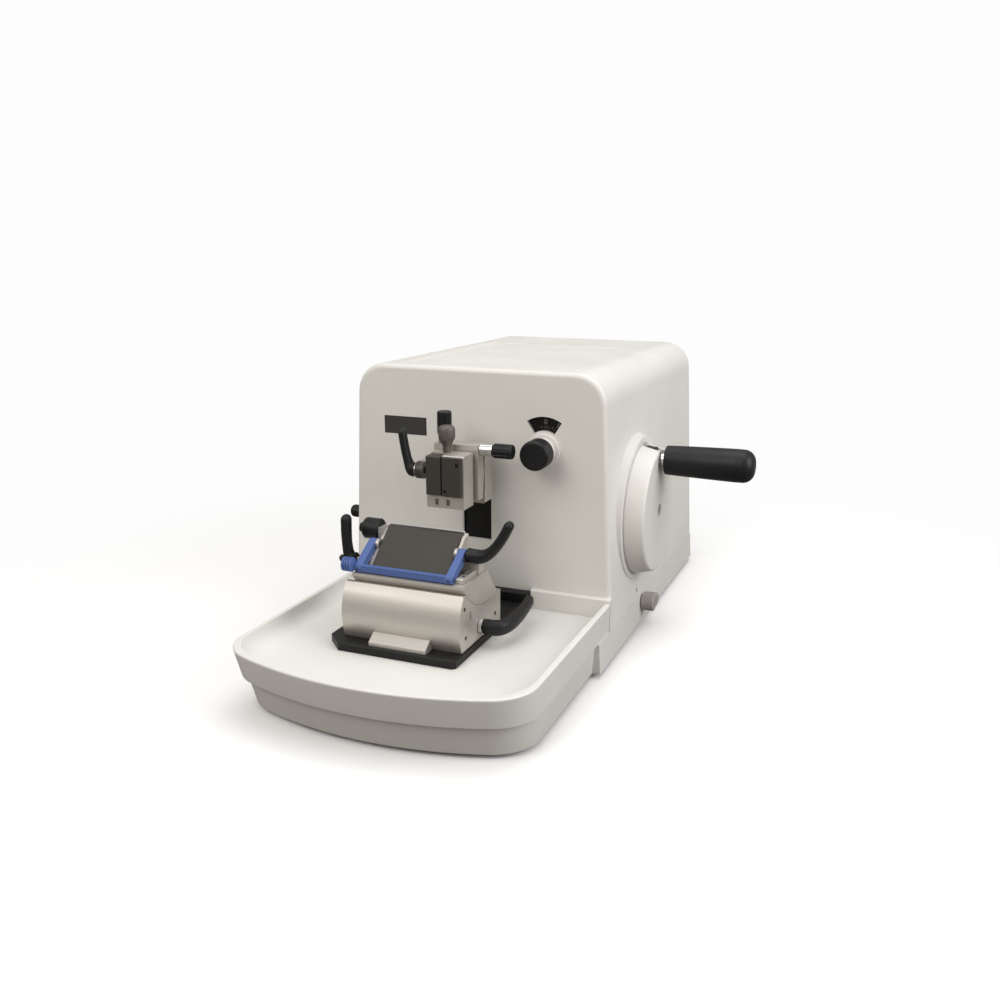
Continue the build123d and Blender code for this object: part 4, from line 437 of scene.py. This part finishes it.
def guard_arm_outline():
    """Side view of a flat arm, as (y, z), from its round eye to its squared end."""
    pivot_y, pivot_z = GUARD_PIVOT
    bar_y, bar_z = GUARD_BAR_LINE
    slope = math.atan2(pivot_z - bar_z, pivot_y - bar_y)
    outline = []
    for k in range(13):
        a = -math.pi / 2 + math.pi * k / 12 + slope
        outline.append((pivot_y + GUARD_EYE * math.cos(a), pivot_z + GUARD_EYE * math.sin(a)))
    direction = Vector((-math.cos(slope), -math.sin(slope)))
    normal = Vector((-direction.y, direction.x))
    length = math.hypot(pivot_y - bar_y, pivot_z - bar_z) + GUARD_ARM_EXTRA
    for along, half in ((length - 1.2, -3.4), (length, -2.2), (length, 2.2), (length - 1.2, 3.4)):
        outline.append(tuple(Vector(GUARD_PIVOT) + direction * along + normal * half))
    return outline


# Finger guard: a flat bar bent to a U, with a ribbed turning end
def guard():
    outline = guard_arm_outline()
    count = len(outline)
    faces = [tuple(range(count)), tuple(range(count, 2 * count))]
    faces += [(i, (i + 1) % count, count + (i + 1) % count, count + i) for i in range(count)]
    for name, sides, stands_for in (
        ("guard_arm_left", GUARD_ARM_LEFT, ("finger_guard",)),
        ("guard_arm_right", GUARD_ARM_RIGHT, ()),
    ):
        verts = [mm(x, y, z) for x in sides for y, z in outline]
        soften(make_piece(name, verts, faces, "guard_blue", "guard", stands_for=stands_for), mm(0.7), 3)
    left = GUARD_ARM_LEFT[0]
    right = GUARD_ARM_RIGHT[1]
    slab("guard_bar", (left, GUARD_FRONT_Y, 120.6), (right, -144.6, 127.6), "guard_blue", "guard",
         1.3, 4)
    slab("guard_lip", (GUARD_ARM_LEFT[1], -150.9, 126.2), (GUARD_ARM_RIGHT[0], -148.6, 127.9),
         "guard_blue", "guard", 0.6, 3)
    profile = [(0, 5.6), (0.8, GUARD_END_RADIUS)]
    for k in range(GUARD_RIBS):
        at = 1.6 + k * GUARD_RIB_PITCH
        profile += [(at, GUARD_END_RADIUS), (at + 0.3, GUARD_END_WAIST), (at + 1.0, GUARD_END_WAIST),
                    (at + 1.3, GUARD_END_RADIUS)]
    profile += [(10.0, GUARD_END_RADIUS), (10.6, GUARD_END_WAIST)]
    lathe("guard_turning_end", profile, (left, -151.5, 127.6), (-1, 0, 0), "guard_blue", "guard",
          steps=40)
    # Thin print_dark strips paint the shade inside the two grooves where the arms meet the bar
    for name, x in (("guard_groove_shade_a", -59.0), ("guard_groove_shade_b", 36.6)):
        slab(name, (x, -151.0, 122.4), (x + 1.2, -150.2, 126.0), "print_dark", "guard")
    lathe("guard_screw_right", [(0, 2.4), (0.8, 2.4), (1.1, 2.0)], (41.2, -124, 136.6), (1, 0, 0),
          "print_dark", "guard", steps=20)


# Screws of the knife holder, and painted shade for two slots in its strip
def holder_trim():
    for name, y, z in (
        ("block_screw_a", -150, 70),
        ("block_screw_b", -80, 70),
        ("block_screw_c", -152, 99),
    ):
        cap_screw(name, (BLOCK_RIGHT, y, z), (1, 0, 0), 2.0, 0.4, "dark_steel", "holder")
    for name, y in (("strip_screw_a", -136), ("strip_screw_b", -122)):
        cap_screw(name, (46, y, STRIP_TOP), (0, 0, 1), 2.1, 1.2, "black_metal", "carrier")
    # Thin print_dark sheets paint the shade inside two slots in the strip top
    for name, y in (("strip_slot_shade_a", -131.5), ("strip_slot_shade_b", -128.5)):
        slab(name, (43, y, 124.9), (49, y + 1.2, 125.15), "print_dark", "carrier")


# Thumb screw, sleeve and collars of the specimen head
def head_trim():
    lathe("thumb_look", [(0, 4.1), (5.0, 4.1), (8, 4.9), (11.5, 7.0), (13.5, 8.1), (16, 8.4), (22, 8.4),
                         (24.6, 7.8), (26.2, 6.2), (26.9, 3.2), (27.0, 0.5)],
          THUMB_AT, (0, 0, 1), "thumb_grey", "thumb", stands_for=("clamp_thumb",))
    lathe("cheek_sleeve", [(0, 8.5), (0.4, 8.65), (7.4, 8.65), (7.8, 8.5)],
          (-25.1, CLAMP_Y, CLAMP_Z), (-1, 0, 0), "dark_steel", "clamp")
    lathe("cheek_ring", [(0, 7.0), (0.3, 7.4), (0.9, 7.4), (1.2, 7.0)],
          (-33.0, CLAMP_Y, CLAMP_Z), (-1, 0, 0), "bright_steel", "clamp")
    lathe("swivel_collar", [(0, 6.05), (0.3, 6.3), (13.1, 6.3), (13.5, 5.6)],
          SWIVEL_KNOB_AT, (1, 0, 0), "bright_steel", "swivel_turn")
    lathe("tilt_collar", [(0, 6.05), (0.3, 6.3), (8.2, 6.3), (8.6, 5.6)],
          TILT_KNOB_AT, (0, 0, 1), "steel", "tilt_turn")


# Plain figures of the thickness dial, with four ticks about each
def dial_numbers():
    for k in range(DIAL_FIGURES):
        a = math.radians(90 - DIAL_FIGURE_STEP * k)
        x = DIAL_X + DIAL_FIGURE_RADIUS * math.cos(a)
        z = DIAL_Z + DIAL_FIGURE_RADIUS * math.sin(a)
        label("dial_number_%d" % k, str(5 * k), (x, DIAL_FACE, z), DIAL_FIGURE_SIZE, "print_white",
              "thickness", a - math.pi / 2)
        for j in range(4):
            b = a + math.radians(DIAL_FIGURE_STEP / 4 * (j - 1.5))
            out = Vector((math.cos(b), math.sin(b)))
            across = Vector((-out.y, out.x)) * DIAL_TICK_HALF
            outer = DIAL_TICK_INNER + (DIAL_TICK_LONG if j % 2 else DIAL_TICK_SHORT)
            corners = [out * r + across * s for r in (DIAL_TICK_INNER, outer) for s in (-1, 1)]
            verts = [mm(DIAL_X + p.x, DIAL_FACE + 0.02, DIAL_Z + p.y) for p in corners]
            make_piece("dial_tick_%d_%d" % (k, j), verts, [(0, 1, 3, 2)], "print_white", "thickness")


def place_camera():
    azimuth = math.radians(CAMERA_AZIMUTH)
    pitch = math.radians(CAMERA_PITCH)
    roll = math.radians(CAMERA_ROLL)
    ahead = Vector((
        -math.sin(azimuth) * math.cos(pitch), math.cos(azimuth) * math.cos(pitch), -math.sin(pitch)
    ))
    right = Vector((math.cos(azimuth), math.sin(azimuth), 0))
    up = right.cross(ahead)
    side = right * math.cos(roll) + up * math.sin(roll)
    top = up * math.cos(roll) - right * math.sin(roll)
    data = bpy.data.cameras.new("camera")
    data.sensor_width = CAMERA_SENSOR
    data.lens = CAMERA_LENS
    data.clip_start = CAMERA_CLIP
    camera = bpy.data.objects.new("camera", data)
    bpy.context.scene.collection.objects.link(camera)
    turn = Matrix((side, top, -ahead)).transposed().to_4x4()
    camera.matrix_world = Matrix.Translation(CAMERA_PLACE) @ turn
    bpy.context.scene.camera = camera


def area_light(name, place, target, size, power, color):
    data = bpy.data.lights.new(name, "AREA")
    data.shape = "SQUARE"
    data.size = size
    data.energy = power
    data.color = color
    light = bpy.data.objects.new(name, data)
    bpy.context.scene.collection.objects.link(light)
    light.location = place
    light.rotation_euler = (Vector(target) - Vector(place)).to_track_quat("-Z", "Y").to_euler()


def world():
    """A plain backdrop for the camera, and a room that is brighter above for everything else."""
    studio = bpy.data.worlds.new("studio")
    bpy.context.scene.world = studio
    studio.use_nodes = True
    tree = studio.node_tree
    tree.nodes.clear()
    link = tree.links.new
    out = add_node(tree, "OutputWorld")
    coords = add_node(tree, "TexCoord")
    split = add_node(tree, "SeparateXYZ")
    link(coords.outputs["Generated"], split.inputs["Vector"])
    height = add_node(tree, "ValToRGB")
    low, high = height.color_ramp.elements
    low.position = 0.0
    low.color = ROOM_LOW
    high.position = ROOM_HIGH_FROM
    high.color = ROOM_HIGH
    link(split.outputs["Z"], height.inputs["Fac"])
    room = add_node(tree, "Background", Strength=ROOM_STRENGTH)
    link(height.outputs["Color"], room.inputs["Color"])
    seen = add_node(tree, "Background", Color=BACKDROP)
    path = add_node(tree, "LightPath")
    mix = add_node(tree, "MixShader")
    link(path.outputs["Is Camera Ray"], mix.inputs["Fac"])
    link(room.outputs["Background"], mix.inputs[1])
    link(seen.outputs["Background"], mix.inputs[2])
    link(mix.outputs["Shader"], out.inputs["Surface"])


def floor_piece():
    """White paper for the camera, dim for reflections, and clear from some way off."""
    mesh = bpy.data.meshes.new("floor")
    half = FLOOR_HALF
    corners = [(-half, -half, 0), (half, -half, 0), (half, half, 0), (-half, half, 0)]
    mesh.from_pydata(corners, [], [(0, 1, 2, 3)])
    floor = bpy.data.objects.new("floor", mesh)
    floor.location = FLOOR_PLACE
    bpy.context.scene.collection.objects.link(floor)
    paper = bpy.data.materials.new("floor")
    paper.use_nodes = True
    tree = paper.node_tree
    tree.nodes.clear()
    link = tree.links.new
    out = add_node(tree, "OutputMaterial")
    bright = add_node(tree, "BsdfDiffuse", Color=FLOOR_SEEN)
    dim = add_node(tree, "BsdfDiffuse", Color=FLOOR_REFLECTED)
    path = add_node(tree, "LightPath")
    seen = add_node(tree, "MixShader")
    link(path.outputs["Is Camera Ray"], seen.inputs["Fac"])
    link(dim.outputs["BSDF"], seen.inputs[1])
    link(bright.outputs["BSDF"], seen.inputs[2])
    coords = add_node(tree, "TexCoord")
    away = add_node(tree, "VectorMath")
    away.operation = "LENGTH"
    link(coords.outputs["Object"], away.inputs[0])
    fade = add_node(tree, "MapRange", From_Min=FADE_START, From_Max=FADE_END)
    link(away.outputs["Value"], fade.inputs["Value"])
    clear = add_node(tree, "BsdfTransparent")
    edge = add_node(tree, "MixShader")
    link(fade.outputs["Result"], edge.inputs["Fac"])
    link(seen.outputs["Shader"], edge.inputs[1])
    link(clear.outputs["BSDF"], edge.inputs[2])
    link(edge.outputs["Shader"], out.inputs["Surface"])
    mesh.materials.append(paper)


levers()
guard()
holder_trim()
head_trim()
dial_numbers()
place_camera()
world()
floor_piece()
for lamp in LAMPS:
    area_light(*lamp)
bpy.context.scene.view_settings.view_transform = "Standard"
